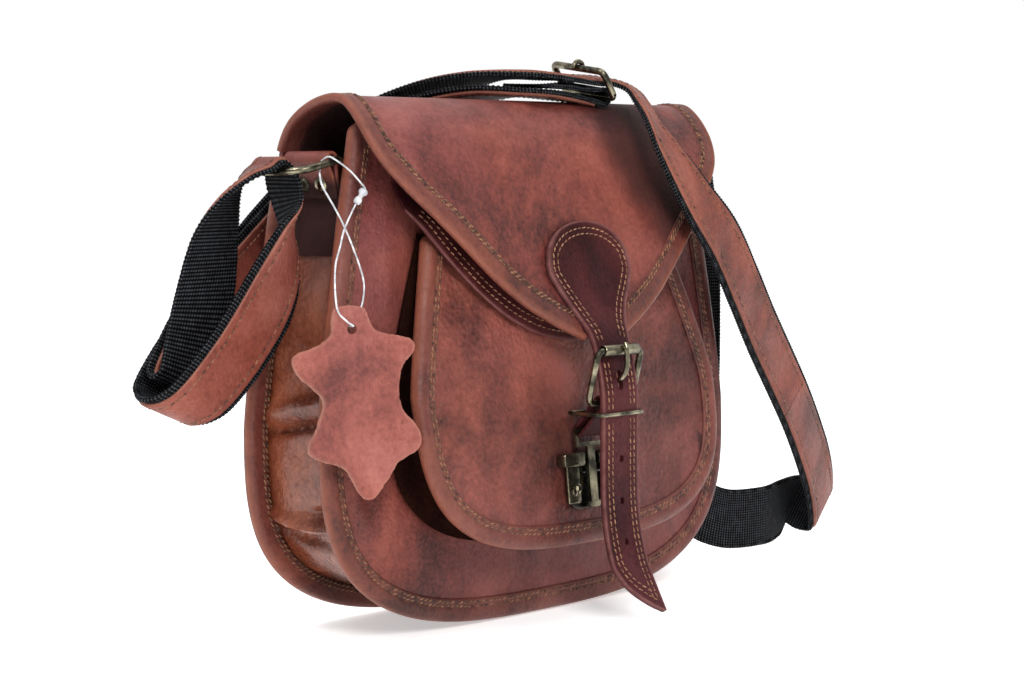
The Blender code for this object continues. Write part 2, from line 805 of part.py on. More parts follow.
def make_prong(roller_y, roller_z, heel_y, heel_z, brass):
    """The prong, curled round the heel bar, through the strap's slot and over the roller."""
    wire = PRONG_WIRE / 2
    curl = BUCKLE_WIRE / 2 + wire + GAP
    over = BUCKLE_WIRE / 2 + ROLLER_GAP + ROLLER_WALL + GAP + wire
    path = []
    steps = 8
    for k in range(steps + 1):
        turn = math.radians(310 - 230 * k / steps)
        path.append((0, heel_y + curl * math.cos(turn), heel_z + curl * math.sin(turn)))
    slot_z = PRONG_AT_SHARE * FLAP_HEIGHT
    slot_y = closure_y(slot_z)
    path.append((0, slot_y + STRAP_LEATHER * 1.5, slot_z - PRONG_HOLE_LENGTH / 5))
    path.append((0, slot_y - STRAP_LEATHER / 2, slot_z + PRONG_HOLE_LENGTH / 8))
    path.append((0, roller_y - over, roller_z - 2 * over))
    path.append((0, roller_y - over, roller_z))
    path.append((0, roller_y - over * 0.75, roller_z + over * 0.72))
    tube("buckle_prong", path, wire, brass, sides=8)


def make_tab_and_keeper(tongue_bar, dark_leather, brass):
    """The leather loop between the buckle's heel and the clip's tongue, and the wire keeper."""
    heel_y, heel_z = at_shares(HEEL_SHARES)
    heel = Vector((0, heel_y, heel_z))
    along = (tongue_bar - heel).normalized()
    out = Vector((0, along.z, -along.y))
    radii = [BUCKLE_WIRE / 2 + GAP + TAB_LEATHER / 2, tongue_bar_radius() + GAP + TAB_LEATHER / 2]
    path = []
    steps = 6
    for bar, radius, sign in ((heel, radii[0], -1), (tongue_bar, radii[1], 1)):
        for k in range(steps + 1):
            turn = math.pi * k / steps
            path.append(bar + radius * sign * (out * math.cos(turn) + along * math.sin(turn)))
    half = TAB_WIDTH / 2
    ends = Vector((half, 0, 0))
    rings = []
    count = len(path)
    for i, here in enumerate(path):
        run = (path[(i + 1) % count] - path[i - 1]).normalized()
        normal = Vector((0, -run.z, run.y)) * TAB_LEATHER / 2
        rings.append([here + normal - ends, here + normal + ends, here - normal + ends, here - normal - ends])
    tab = loft("buckle_tab", rings, dark_leather, closed=True)
    cut(tab, tab_slot(heel_y, heel_z))
    make_keeper(heel, tongue_bar, radii, brass)


def tab_slot(heel_y, heel_z):
    """The slot in the tab's fold that lets the prong turn."""
    room = PRONG_WIRE / 2 + GAP
    reach = BUCKLE_WIRE + TAB_LEATHER
    low, high = heel_z - reach, heel_z + 2 * reach
    outline = [(-room, low), (room, low), (room, high), (-room, high)]

    def place(x, z, y):
        return (x, y, z)

    return slab("tab_slot", outline, place, heel_y - 2 * reach, heel_y + 2 * reach, None)


def make_keeper(heel, tongue_bar, radii, brass):
    """A wire loop round the strap and the tab."""
    z = heel.z - KEEPER_UNDER_HEEL
    share = (heel.z - z) / (heel.z - tongue_bar.z)
    middle = heel.lerp(tongue_bar, share)
    lean = (tongue_bar - heel).normalized()
    thick = max(radii) + TAB_LEATHER / 2
    front = closure_y(z) - KEEPER_WIRE / 2 - GAP
    back = middle.y + (thick + KEEPER_WIRE / 2) / abs(lean.z) + KEEPER_SLACK
    half = STRAP_WIDTH / 2 + KEEPER_ROOM + KEEPER_WIRE / 2
    corners = [Vector((x, y, z)) for x, y in ((-half, front), (half, front), (half, back), (-half, back))]
    path = rounded_frame(corners, 2 * KEEPER_WIRE)
    tube("buckle_keeper", path, KEEPER_WIRE / 2, brass, closed=True, sides=8)


# The pinch clip


class ClipFrame:
    """The clip's own frame: across, up along the pocket's face, and out from it."""

    def __init__(self):
        low, high = CLIP_LOW, CLIP_LOW + CLIP_HEIGHT
        low_y = pocket_y(low) + PANEL_AT - pocket_bulge(0, low)
        high_y = pocket_y(high) + PANEL_AT - pocket_bulge(0, high)
        self.up = Vector((0, high_y - low_y, high - low)).normalized()
        self.out = Vector((0, -self.up.z, self.up.y))
        self.base = Vector((0, low_y, low)) + self.out * GAP

    def at(self, across, up, out):
        """A point of the clip in the bag's frame."""
        return self.base + Vector((across, 0, 0)) + self.up * up + self.out * out


# Places on the clip, up from its lower edge, across from its middle and out from the pocket
BASE_OUT = 0.0004
LEVER_GAP = 0.0016
LEVER_INNER = 0.0066
LEVER_LOW = 0.0024
HOOK_REACH = 0.0022
HOOK_HEIGHT = 0.0020
PIN_UP = 0.0100
PAD_UP = 0.0190
TONGUE_UP = 0.0004
TONGUE_HEAD = 0.0026
TONGUE_NECK_TOP = 0.0290
SPRING_UP = 0.0170


def lever_planes():
    """The back and front faces of the levers and of the tongue, out from the pocket."""
    low = BASE_OUT + CLIP_STEEL + LEVER_GAP
    return low, low + CLIP_STEEL


def tongue_bar_radius():
    """Half the diagonal of the tongue's top bar, which the tab wraps."""
    return math.hypot(TONGUE_WIRE, CLIP_STEEL) / 2


def make_clip(brass, steel):
    """Base plate, two sprung levers on their pins, the spring, and the tongue that they hold."""
    frame = ClipFrame()
    half = CLIP_WIDTH / 2
    corner = PIN_RADIUS * 2
    top = PAD_UP + PAD_HEIGHT
    outline = [
        (-half + corner, 0),
        (half - corner, 0),
        (half, corner),
        (half, top - corner),
        (half - corner, top),
        (-half + corner, top),
        (-half, top - corner),
        (-half, corner),
    ]
    slab("clip_base", outline, frame.at, BASE_OUT, BASE_OUT + CLIP_STEEL, steel)
    for side, name in ((-1, "left"), (1, "right")):
        make_lever(frame, side, name, brass)
        make_pin(frame, side, name, brass)
    make_tongue(frame, brass)
    make_spring(frame, steel)
    return frame


def make_tongue(frame, brass):
    """The tongue: a head that the hooks hold, a neck, and a loop for the tab."""
    head, neck = TONGUE_WIDTH / 2, TONGUE_NECK / 2
    loop = TAB_WIDTH / 2 + GAP + TONGUE_WIRE
    shoulder = TONGUE_UP + TONGUE_HEAD
    top = TONGUE_NECK_TOP + TONGUE_LOOP_HEIGHT
    outline = [
        (neck, TONGUE_UP),
        (head, TONGUE_UP + TONGUE_HEAD / 2),
        (head, shoulder),
        (neck, shoulder),
        (neck, TONGUE_NECK_TOP),
        (loop, TONGUE_NECK_TOP),
        (loop, top),
    ]
    outline += [(-x, z) for x, z in reversed(outline)]
    low, high = lever_planes()
    tongue = slab("clip_tongue", outline, frame.at, low, high, brass)
    inside = loop - TONGUE_WIRE
    floor, roof = TONGUE_NECK_TOP + TONGUE_WIRE, top - TONGUE_WIRE
    window = [(-inside, floor), (inside, floor), (inside, roof), (-inside, roof)]
    cut(tongue, slab("tongue_window", window, frame.at, low - CLIP_STEEL, high + CLIP_STEEL, None))


def make_lever(frame, side, name, brass):
    """One lever: a plate with a hook at its foot and a finger pad at its top."""
    low, high = lever_planes()
    inner, outer = LEVER_INNER, LEVER_INNER + LEVER_WIDTH
    hook = TONGUE_UP + TONGUE_HEAD + 2 * GAP
    plate = [
        (side * inner, PAD_UP + GAP),
        (side * inner, hook + HOOK_HEIGHT),
        (side * (inner - HOOK_REACH), hook + HOOK_HEIGHT),
        (side * (inner - HOOK_REACH), hook),
        (side * inner, hook),
        (side * inner, LEVER_LOW),
        (side * outer, LEVER_LOW),
        (side * outer, PAD_UP + GAP),
    ]
    lever = slab("clip_lever_" + name, plate, frame.at, low, high, brass)
    start = inner + GAP
    pad = [
        (side * start, PAD_UP - GAP),
        (side * (start + PAD_WIDTH), PAD_UP - GAP),
        (side * (start + PAD_WIDTH), PAD_UP + PAD_HEIGHT),
        (side * start, PAD_UP + PAD_HEIGHT),
    ]
    block = slab("pad_" + name, pad, frame.at, low + GAP, low + PAD_DEPTH, brass)
    block.hide_render = True
    block.display_type = "WIRE"
    join = lever.modifiers.new("pad", "BOOLEAN")
    join.operation = "UNION"
    join.solver = "EXACT"
    join.object = block
    middle = side * (inner + outer) / 2
    start, end = frame.at(middle, PIN_UP, low - CLIP_STEEL), frame.at(middle, PIN_UP, high + CLIP_STEEL)
    cut(lever, rod("bore_" + name, start, end, PIN_RADIUS + GAP, None))


def make_pin(frame, side, name, brass):
    """The shouldered pin that a lever turns on."""
    low, high = lever_planes()
    middle = side * (LEVER_INNER + LEVER_WIDTH / 2)
    seat = BASE_OUT + CLIP_STEEL + GAP
    shape = [
        (PIN_SHOULDER, seat),
        (PIN_SHOULDER, low - GAP),
        (PIN_RADIUS, low - GAP),
        (PIN_RADIUS, high + GAP),
        (PIN_SHOULDER, high + GAP),
        (PIN_RADIUS, high + GAP + PIN_HEAD),
    ]
    rings = []
    turns = [math.tau * k / ROUND_SIDES for k in range(ROUND_SIDES)]
    for radius, out in shape:
        places = [(middle + radius * math.cos(a), PIN_UP + radius * math.sin(a)) for a in turns]
        rings.append([frame.at(across, up, out) for across, up in places])
    loft("clip_pin_" + name, rings, brass)


def make_spring(frame, steel):
    """A bent wire behind the tongue that pushes the two levers apart."""
    low, high = lever_planes()
    behind = BASE_OUT + CLIP_STEEL + LEVER_GAP / 2
    middle = (low + high) / 2
    reach = LEVER_INNER - SPRING_WIRE / 2 - GAP
    inside = (TONGUE_NECK / 2 + reach) / 2
    shape = [(reach, middle), (inside, middle - SPRING_WIRE / 2), (inside - SPRING_WIRE, behind), (0, behind)]
    path = [frame.at(-x, SPRING_UP, out) for x, out in shape]
    path += [frame.at(x, SPRING_UP, out) for x, out in reversed(shape[:-1])]
    tube("clip_spring", path, SPRING_WIRE / 2, steel, sides=6)


# Rings and tabs at the two sides


def make_ring(side, name, brass):
    """A D-ring: its straight bar through the tab, its bow held by the shoulder strap."""
    bar_x, bar_y = ring_bar(side)
    half = RING_INSIDE / 2 + RING_WIRE / 2
    path = []
    for k in range(4):
        path.append((bar_x, bar_y - half + 2 * half * (k + 0.5) / 4, RING_HEIGHT))
    steps = 14
    for k in range(steps + 1):
        turn = math.pi * k / steps
        reach = RING_REACH * math.sin(turn) ** RING_BOW_POWER if 0 < k < steps else 0
        drop = RING_DROOP * reach / RING_REACH
        path.append((bar_x + side * reach, bar_y + half * math.cos(turn), RING_HEIGHT - drop))
    tube("ring_" + name, path, RING_WIRE / 2, brass, closed=True, sides=8)


RING_BOW_POWER = 0.3


def panel_x(z):
    """Half the panels' width at a height on their upper sides."""
    share = (z - WIDEST_HEIGHT) / (PANEL_HEIGHT - WIDEST_HEIGHT)
    return BAG_WIDTH / 2 + (TOP_WIDTH - BAG_WIDTH) / 2 * share**PANEL_SIDE_POWER


def ring_bar(side):
    """X and Y of the ring's straight bar."""
    radius = RING_WIRE / 2 + GAP + RING_TAB_LEATHER
    x = panel_x(RING_HEIGHT) - GUSSET_INSET + RING_TAB_STAND + radius
    return side * x, front_y(RING_HEIGHT) / 2 - RING_FORWARD


def make_ring_tab(side, name, leather, brass):
    """A strap of leather sewn to the gusset, folded over the ring's bar and riveted below it."""
    bar_x, bar_y = ring_bar(1)
    bar = Vector((bar_x, 0, RING_HEIGHT))
    apart = RING_TAB_LEATHER / 2 + GAP
    low_x = panel_x(RING_TAB_LOW) - GUSSET_INSET + GAP + RING_TAB_LEATHER / 2
    leave_x = panel_x(RING_TAB_LEAVES) - GUSSET_INSET + GAP + RING_TAB_LEATHER / 2
    leave = Vector((leave_x, 0, RING_TAB_LEAVES))
    up = (bar - leave).normalized()
    out = Vector((up.z, 0, -up.x))
    radius = RING_WIRE / 2 + GAP + RING_TAB_LEATHER / 2
    path = [Vector((low_x, 0, RING_TAB_LOW)), leave, bar - up * RING_TAB_NECK - out * apart]
    steps = 8
    for k in range(steps + 1):
        turn = math.radians(-120 + 240 * k / steps)
        path.append(bar + radius * (up * math.cos(turn) + out * math.sin(turn)))
    path.append(bar - up * RING_TAB_NECK + out * apart)
    path.append(bar - up * RING_TAB_RETURN + out * apart)
    ends = Vector((0, RING_TAB_WIDTH / 2, 0))
    shift = Vector((0, bar_y, 0))
    mirror = Vector((side, 1, 1))
    rings = []
    last = len(path) - 1
    for i, here in enumerate(path):
        run = (path[min(i + 1, last)] - path[max(i - 1, 0)]).normalized()
        normal = Vector((run.z, 0, -run.x)) * RING_TAB_LEATHER / 2
        ring = [here + normal - ends, here + normal + ends, here - normal + ends, here - normal - ends]
        rings.append([p * mirror + shift for p in ring])
    loft("ring_tab_" + name, rings, leather)
    face = bar - up * DOME_DROP + out * (apart + RING_TAB_LEATHER / 2 + GAP)
    for k, spread in enumerate((-1, 1)):
        seat = face + Vector((0, spread * RING_TAB_WIDTH / 5, 0))
        rings = []
        for i in range(4):
            turn = math.pi / 2 * i / 4
            wide, rise = DOME_RADIUS * math.cos(turn), DOME_RISE * math.sin(turn)
            ring = []
            for j in range(ROUND_SIDES):
                around = math.tau * j / ROUND_SIDES
                spot = up * math.cos(around) + Vector((0, math.sin(around), 0))
                ring.append((seat + out * rise + spot * wide) * mirror + shift)
            rings.append(ring)
        loft("tab_rivet_%s_%d" % (name, k + 1), rings, brass)


# The shoulder strap's route, from the right ring round to the left ring and back to the slide
# buckle. Each row is a place and the direction across the strap. Places are shares of half the
# bag's width, of the body's depth (forward is positive) and of the flap's height.
STRAP_SHARES = [
    (1.043, 0.483, 0.7240, 0, 1, 0),
    (1.040, 0.483, 0.7800, 0, 1, 0),
    (1.012, 0.483, 0.8250, 0, 1, 0),
    (1.006, 0.483, 0.8600, 0, 1, 0),
    (1.043, 0.483, 0.8785, 0, 1, 0),
    (1.075, 0.483, 0.8600, 0, 1, 0),
    (1.073, 0.483, 0.8200, 0, 1, 0),
    (1.070, 0.483, 0.7700, 0, 1, 0),
    (1.072, 0.483, 0.7000, 0, 1, 0),
    (1.090, 0.460, 0.5600, 0, 1, -0.05),
    (1.120, 0.400, 0.3800, 0, 1, -0.15),
    (1.150, 0.300, 0.2200, 0, 0.85, -0.5),
    (1.200, 0.240, 0.1250, -0.2, 0.35, -0.9),
    (1.320, 0.360, 0.0830, -0.1, 0.05, -1),
    (1.520, 0.450, 0.0780, 0, 0, -1),
    (1.720, 0.300, 0.0790, -0.1, 0, -1),
    (1.850, 0.200, 0.0850, -0.45, 0, -0.9),
    (1.900, 0.190, 0.0870, -0.65, 0, -0.76),
    (1.929, 0.250, 0.0740, -0.65, 0, -0.76),
    (1.938, 0.340, 0.0700, -0.65, 0, -0.76),
    (1.929, 0.430, 0.0740, -0.65, 0, -0.76),
    (1.890, 0.500, 0.0930, -0.66, 0, -0.75),
    (1.820, 0.600, 0.1400, -0.68, -0.02, -0.73),
    (1.690, 0.740, 0.2150, -0.7, -0.04, -0.7),
    (1.450, 0.940, 0.3450, -0.7, -0.06, -0.7),
    (1.110, 1.170, 0.5180, -0.72, -0.08, -0.68),
    (0.920, 1.310, 0.6180, -0.74, -0.1, -0.66),
    (0.725, 1.440, 0.7200, -0.74, -0.14, -0.62),
    (0.560, 1.480, 0.8000, -0.7, -0.26, -0.6),
    (0.450, 1.430, 0.8780, -0.68, -0.42, -0.55),
    (0.395, 1.350, 0.9350, -0.7, -0.55, -0.4),
    (0.400, 1.220, 0.9820, -0.74, -0.6, -0.28),
    (0.430, 1.050, 1.0120, -0.78, -0.6, -0.2),
    (0.438, 0.900, 1.0310, -0.6, -0.78, -0.16),
    (0.392, 0.775, 1.0415, -0.25, -0.95, -0.14),
    (0.310, 0.725, 1.0428, -0.1, -0.98, -0.13),
    (0.210, 0.710, 1.0440, -0.04, -1, -0.08),
    (0.080, 0.700, 1.0470, 0, -1, -0.03),
    (-0.020, 0.630, 1.0465, -0.350, -0.935, 0.050),
    (-0.140, 0.405, 1.0340, -0.674, -0.704, 0.225),
    (-0.250, 0.145, 1.0080, -0.741, -0.574, 0.349),
    (-0.370, -0.105, 0.9570, -0.74, -0.424, 0.522),
    (-0.500, -0.265, 0.8850, -0.737, -0.196, 0.647),
    (-0.640, -0.3125, 0.7950, -0.699, -0.007, 0.715),
    (-0.800, -0.290, 0.7160, -0.648, 0.077, 0.757),
    (-0.980, -0.205, 0.6300, -0.642, 0.155, 0.751),
    (-1.150, -0.060, 0.5550, -0.642, 0.183, 0.745),
    (-1.330, 0.060, 0.4720, -0.88, 0, 0.45),
    (-1.372, 0.170, 0.4500, -0.92, 0, 0.39),
    (-1.392, 0.310, 0.4420, -0.92, 0, 0.39),
    (-1.372, 0.450, 0.4500, -0.92, 0, 0.39),
    (-1.320, 0.530, 0.4780, -0.88, 0, 0.45),
    (-1.205, 0.570, 0.5500, -0.84, 0, 0.54),
    (-1.090, 0.590, 0.6400, -0.8, -0.04, 0.58),
    (-1.010, 0.570, 0.7250, -0.7, -0.4, 0.46),
    (-0.985, 0.520, 0.7900, -0.35, -0.9, 0.2),
    (-0.990, 0.485, 0.8350, -0.05, -1, 0),
    (-1.006, 0.483, 0.8620, 0, -1, 0),
    (-1.043, 0.483, 0.8785, 0, -1, 0),
    (-1.075, 0.477, 0.8660, -0.15, -0.97, 0),
    (-1.118, 0.430, 0.8500, -0.5, -0.8, 0),
    (-1.170, 0.370, 0.8110, -0.8, -0.55, 0),
    (-1.212, 0.330, 0.7500, -0.95, -0.25, 0),
    (-1.250, 0.315, 0.6500, -1, 0, 0),
    (-1.285, 0.305, 0.5650, -0.98, 0, 0.2),
    (-1.310, 0.305, 0.5100, -0.95, 0, 0.32),
    (-1.318, 0.295, 0.4900, -0.92, 0, 0.39),
    (-1.326, 0.220, 0.4780, -0.92, 0, 0.39),
    (-1.316, 0.145, 0.4900, -0.92, 0, 0.39),
    (-1.280, 0.120, 0.5200, -0.88, 0, 0.45),
    (-1.150, 0.020, 0.5850, -0.613, 0.189, 0.767),
    (-0.980, -0.100, 0.6450, -0.576, 0.165, 0.801),
    (-0.800, -0.180, 0.7200, -0.612, 0.08, 0.787),
    (-0.640, -0.200, 0.7950, -0.668, -0.007, 0.744),
    (-0.500, -0.160, 0.8750, -0.698, -0.208, 0.686),
    (-0.370, -0.020, 0.9400, -0.699, -0.451, 0.555),
    (-0.250, 0.200, 0.9850, -0.704, -0.607, 0.369),
    (-0.140, 0.440, 1.0085, -0.638, -0.733, 0.235),
    (-0.020, 0.635, 1.0160, -0.380, -0.920, 0.05),
    (0.072, 0.685, 1.0175, 0, -1, -0.03),
    (0.215, 0.700, 1.0115, -0.04, -1, -0.08),
    (0.300, 0.720, 1.0062, -0.1, -0.98, -0.13),
    (0.345, 0.726, 1.0040, -0.1, -0.98, -0.14),
    (0.368, 0.726, 1.0172, -0.1, -0.98, -0.14),
    (0.345, 0.726, 1.0308, -0.1, -0.98, -0.14),
    (0.300, 0.720, 1.0312, -0.1, -0.98, -0.13),
    (0.215, 0.705, 1.0285, -0.04, -1, -0.08),
    (0.130, 0.698, 1.0292, 0, -1, -0.04),
    (0.040, 0.692, 1.0298, 0, -1, -0.02),
]
# The last rows of the route, from the wrap round the slide buckle's lower bar on, have no facing.
BARE_ROWS = 10
# The first and last rows of the stretches that hang on the right and the left ring
RING_ROWS = [(0, 9), (44, 72)]
# Where the strap is pinched: places along the route and how much of the width is left there
PINCH_ROWS = [4, 33, 58, -6]
PINCH_SHARES = [0.58, 0.60, 0.58, 0.82]
# How far the strap may twist between two of its sections
TWIST_STEP = math.radians(9)


def by_ring(x, forward, up):
    """A place from shares that keeps its distance from the ring's bar on its side."""
    bar_x, _ = ring_bar(1)
    reach = (abs(x) - BAR_ACROSS_SHARE) * LOOP_WIDTH
    rise = (up - BAR_UP_SHARE) * LOOP_HEIGHT
    return Vector((math.copysign(bar_x + reach, x), -forward * BODY_DEPTH, RING_HEIGHT + rise))


def strap_knots():
    """The route in metres, each knot with its direction across."""
    knots = []
    for i, (x, forward, up, ax, ay, az) in enumerate(STRAP_SHARES):
        across = Vector((ax, ay, az)).normalized()
        hangs = any(first <= i <= last for first, last in RING_ROWS)
        place = by_ring(x, forward, up) if hangs else place_at((x, forward, up))
        knots.append([*place, *across])
    return knots


def strap_width_share(here, pinches):
    """How much of its width the strap keeps at a place, between its pinched stretches."""
    share = 1
    for place, least in pinches:
        near = math.exp(-(((here - place).length / PINCH_REACH) ** 2))
        share = min(share, 1 - (1 - least) * near)
    return share


def ribbon(name, run, pinches, width, low, high, finish):
    """A flat strap along a run of places and across directions, between two heights above its middle."""
    points, faces = [], []
    last = len(run) - 1
    for i, knot in enumerate(run):
        here = Vector(knot[:3])
        along = (Vector(run[min(i + 1, last)][:3]) - Vector(run[max(i - 1, 0)][:3])).normalized()
        across = Vector(knot[3:]).normalized()
        out = along.cross(across).normalized()
        half = across * width / 2 * strap_width_share(here, pinches)
        points += [here - half + out * low, here + half + out * low]
        points += [here + half + out * high, here - half + out * high]
    for i in range(last):
        a, b = 4 * i, 4 * i + 4
        # Both broad faces fold along the same diagonal, so that stacked layers stay parallel.
        faces += [(a, a + 1, b), (a + 1, b + 1, b), (a + 2, a + 3, b + 3), (a + 2, b + 3, b + 2)]
        faces += [(a + 1, a + 2, b + 2, b + 1), (a + 3, a, b, b + 3)]
    end = 4 * last
    faces += [(0, 3, 2, 1), (end, end + 1, end + 2, end + 3)]
    return build(name, points, faces, finish)


def make_shoulder_strap(facing_leather, webbing, brass):
    """Black webbing faced with leather in two lengths that meet at a seam."""
    knots = strap_knots()
    counts = []
    for knot, after in zip(knots, knots[1:]):
        twist = Vector(knot[3:]).angle(Vector(after[3:]))
        counts.append(2 + min(int(twist / TWIST_STEP), 2))
    run = smooth_run(knots, counts)
    pinches = [(Vector(knots[row][:3]), least) for row, least in zip(PINCH_ROWS, PINCH_SHARES)]
    half = WEBBING_THICK / 2
    ribbon("shoulder_strap_webbing", run, pinches, WEBBING_WIDTH, -half, half, webbing)
    # The two lengths of facing meet on the stretch that rises on the right of the bag.
    rising = [i for i, knot in enumerate(run) if knot[0] > BAG_WIDTH / 2 and -knot[1] > BODY_DEPTH / 2]
    seam = min(rising, key=lambda i: abs(run[i][2] - LAP_HEIGHT))
    low, high = half + FACING_GAP, half + FACING_GAP + FACING_THICK
    first, last = counts[0], sum(counts[: -BARE_ROWS + 1])
    short, long = run[first : seam + 1], run[seam:last]
    here, after = Vector(long[0][:3]), Vector(long[1][:3])
    long[0] = [*(here + (after - here).normalized() * GAP), *long[0][3:]]
    ribbon("shoulder_strap_facing_short", short, pinches, FACING_WIDTH, low, high, facing_leather)
    ribbon("shoulder_strap_facing_long", long, pinches, FACING_WIDTH, low, high, facing_leather)
    make_slide(brass)


# The middles of the slide buckle's two bars, as places in the strap's route, and the bars' direction
SLIDE_TOP_SHARES = (0.290, 0.712, 1.0690)
SLIDE_LOW_SHARES = (0.345, 0.726, 1.0172)
SLIDE_ALONG = (-0.1, -0.98, -0.14)


def place_at(shares):
    """A place from shares of the bag's half width, the body's depth and the flap's height."""
    x, forward, up = shares
    return Vector((x * BAG_WIDTH / 2, -forward * BODY_DEPTH, up * FLAP_HEIGHT))


def make_slide(brass):
    """The prong buckle that joins the strap's two ends at the top of the flap."""
    wire = SLIDE_WIRE / 2
    top, low = place_at(SLIDE_TOP_SHARES), place_at(SLIDE_LOW_SHARES)
    along = Vector(SLIDE_ALONG).normalized()
    half = along * (WEBBING_WIDTH / 2 + SLIDE_ROOM + wire)
    corners = [top - half, top + half, low + half, low - half]
    path = rounded_frame(corners, SLIDE_WIRE)
    tube("strap_buckle_frame", path, wire, brass, closed=True, sides=8)
    prong = PRONG_WIRE / 2
    aside = Vector((1, 0, 0))
    aside = (aside - along * aside.dot(along)).normalized()
    up = aside.cross(along)
    up = up if up.z > 0 else -up
    curl = wire + prong + GAP
    path = []
    steps = 8
    for k in range(steps + 1):
        turn = math.radians(185 - 185 * k / steps)
        path.append(top + curl * (aside * math.cos(turn) + up * math.sin(turn)))
    path.append(top + aside * (curl + SLIDE_WIRE) - up * GAP)
    path.append(top + aside * (curl + 3 * SLIDE_WIRE) - up * GAP)
    tube("strap_buckle_prong", path, prong, brass, sides=8)


# The hide-shaped hang tag: across and down from its hole, as shares of its width and height
TAG_SHARES = [
    (-0.127, 0.106),
    (-0.167, -0.027),
    (-0.277, -0.086),
    (-0.448, -0.131),
    (-0.425, -0.224),
    (-0.232, -0.359),
    (-0.265, -0.487),
    (-0.343, -0.623),
    (-0.212, -0.686),
    (-0.053, -0.730),
    (0.065, -0.866),
    (0.160, -0.892),
    (0.290, -0.788),
    (0.372, -0.707),
    (0.537, -0.641),
    (0.545, -0.546),
    (0.390, -0.407),
    (0.392, -0.224),
    (0.498, -0.122),
    (0.457, -0.058),
    (0.190, -0.010),
    (0.088, 0.107),
]
TAG_PLACE_SHARES = (-0.981, 1.180, 0.5850)
TAG_TURN = math.radians(17)


def tag_frame():
    """The tag's hole, its direction across and the direction that it faces."""
    place = by_ring(*TAG_PLACE_SHARES)
    across = Vector((math.cos(TAG_TURN), -math.sin(TAG_TURN), 0))
    return place, across, across.cross(Vector((0, 0, 1)))


# The nylon loop's route, from its lock round the ring's bow, through the tag's hole and back, as
# places like those of the shoulder strap.
TAG_CORD_SHARES = [
    (-0.832, 0.963, 0.8313),
    (-0.868, 0.909, 0.8600),
    (-0.907, 0.850, 0.8807),
    (-0.921, 0.789, 0.8880),
    (-0.932, 0.734, 0.8770),
    (-0.946, 0.765, 0.8620),
    (-0.971, 0.828, 0.8560),
    (-0.979, 0.878, 0.8354),
    (-0.957, 0.946, 0.7984),
    (-0.929, 0.988, 0.7613),
    (-0.896, 1.047, 0.6996),
    (-0.890, 1.090, 0.6597),
    (-0.916, 1.125, 0.6214),
    (-0.950, 1.132, 0.5988),
    (-0.974, 1.142, 0.5908),
    (-0.987, 1.220, 0.5910),
    (-1.016, 1.216, 0.6008),
    (-1.040, 1.182, 0.6235),
    (-1.021, 1.115, 0.6885),
    (-0.982, 1.069, 0.7284),
    (-0.946, 1.030, 0.7617),
    (-0.879, 0.975, 0.8025),
]
LOCK_HALF = 0.0016
# The lock's swellings: place along its half length, and width as a share of LOCK_HALF
LOCK_SHARES = [(-1, 0.6), (-0.8, 1), (0.2, 0.8), (0.6, 1.3), (1, 0.8)]


def make_tag(tag_leather, nylon):
    """The tag, the clear loop that it hangs on and the loop's lock."""
    place, across, facing = tag_frame()
    outline = [(a * TAG_WIDTH, b * TAG_HEIGHT) for a, b in TAG_SHARES]

    def at(a, b, height):
        return place + across * a + Vector((0, 0, b)) + facing * height

    tag = slab("hang_tag", outline, at, -TAG_LEATHER / 2, TAG_LEATHER / 2, tag_leather)
    hole = rod("tag_hole", at(0, 0, -2 * TAG_LEATHER), at(0, 0, 2 * TAG_LEATHER), TAG_HOLE / 2, None)
    cut(tag, hole)
    run = smooth_run(TAG_CORD_SHARES, CURVE_STEPS)
    path = [by_ring(*shares) for shares in run]
    spline_tube("tag_loop", path, TAG_CORD / 2, nylon)
    top, low = Vector(path[0]), Vector(path[-1])
    middle = (top + low) / 2
    along = (top - low).normalized()
    side = along.orthogonal().normalized()
    third = along.cross(side)
    half = (top - low).length / 2 - GAP - TAG_CORD / 4
    rings = []
    for t, width in LOCK_SHARES:
        turns = [math.tau * (k + 0.5) / 6 for k in range(6)]
        spot = middle + along * half * t
        reach = LOCK_HALF * width
        rings.append([spot + reach * (side * math.cos(a) + third * math.sin(a)) for a in turns])
    loft("tag_lock", rings, nylon)


def spline_tube(name, path, radius, finish):
    """A cord as a curve with a round bevel and closed ends."""
    curve = bpy.data.curves.new(name, "CURVE")
    curve.dimensions = "3D"
    curve.bevel_depth = radius
    curve.bevel_resolution = 2
    curve.use_fill_caps = True
    spline = curve.splines.new("POLY")
    spline.points.add(len(path) - 1)
    for point, place in zip(spline.points, path):
        point.co = (*place, 1)
    curve.materials.append(finish)
    made = bpy.data.objects.new(name, curve)
    bpy.context.scene.collection.objects.link(made)
    return made


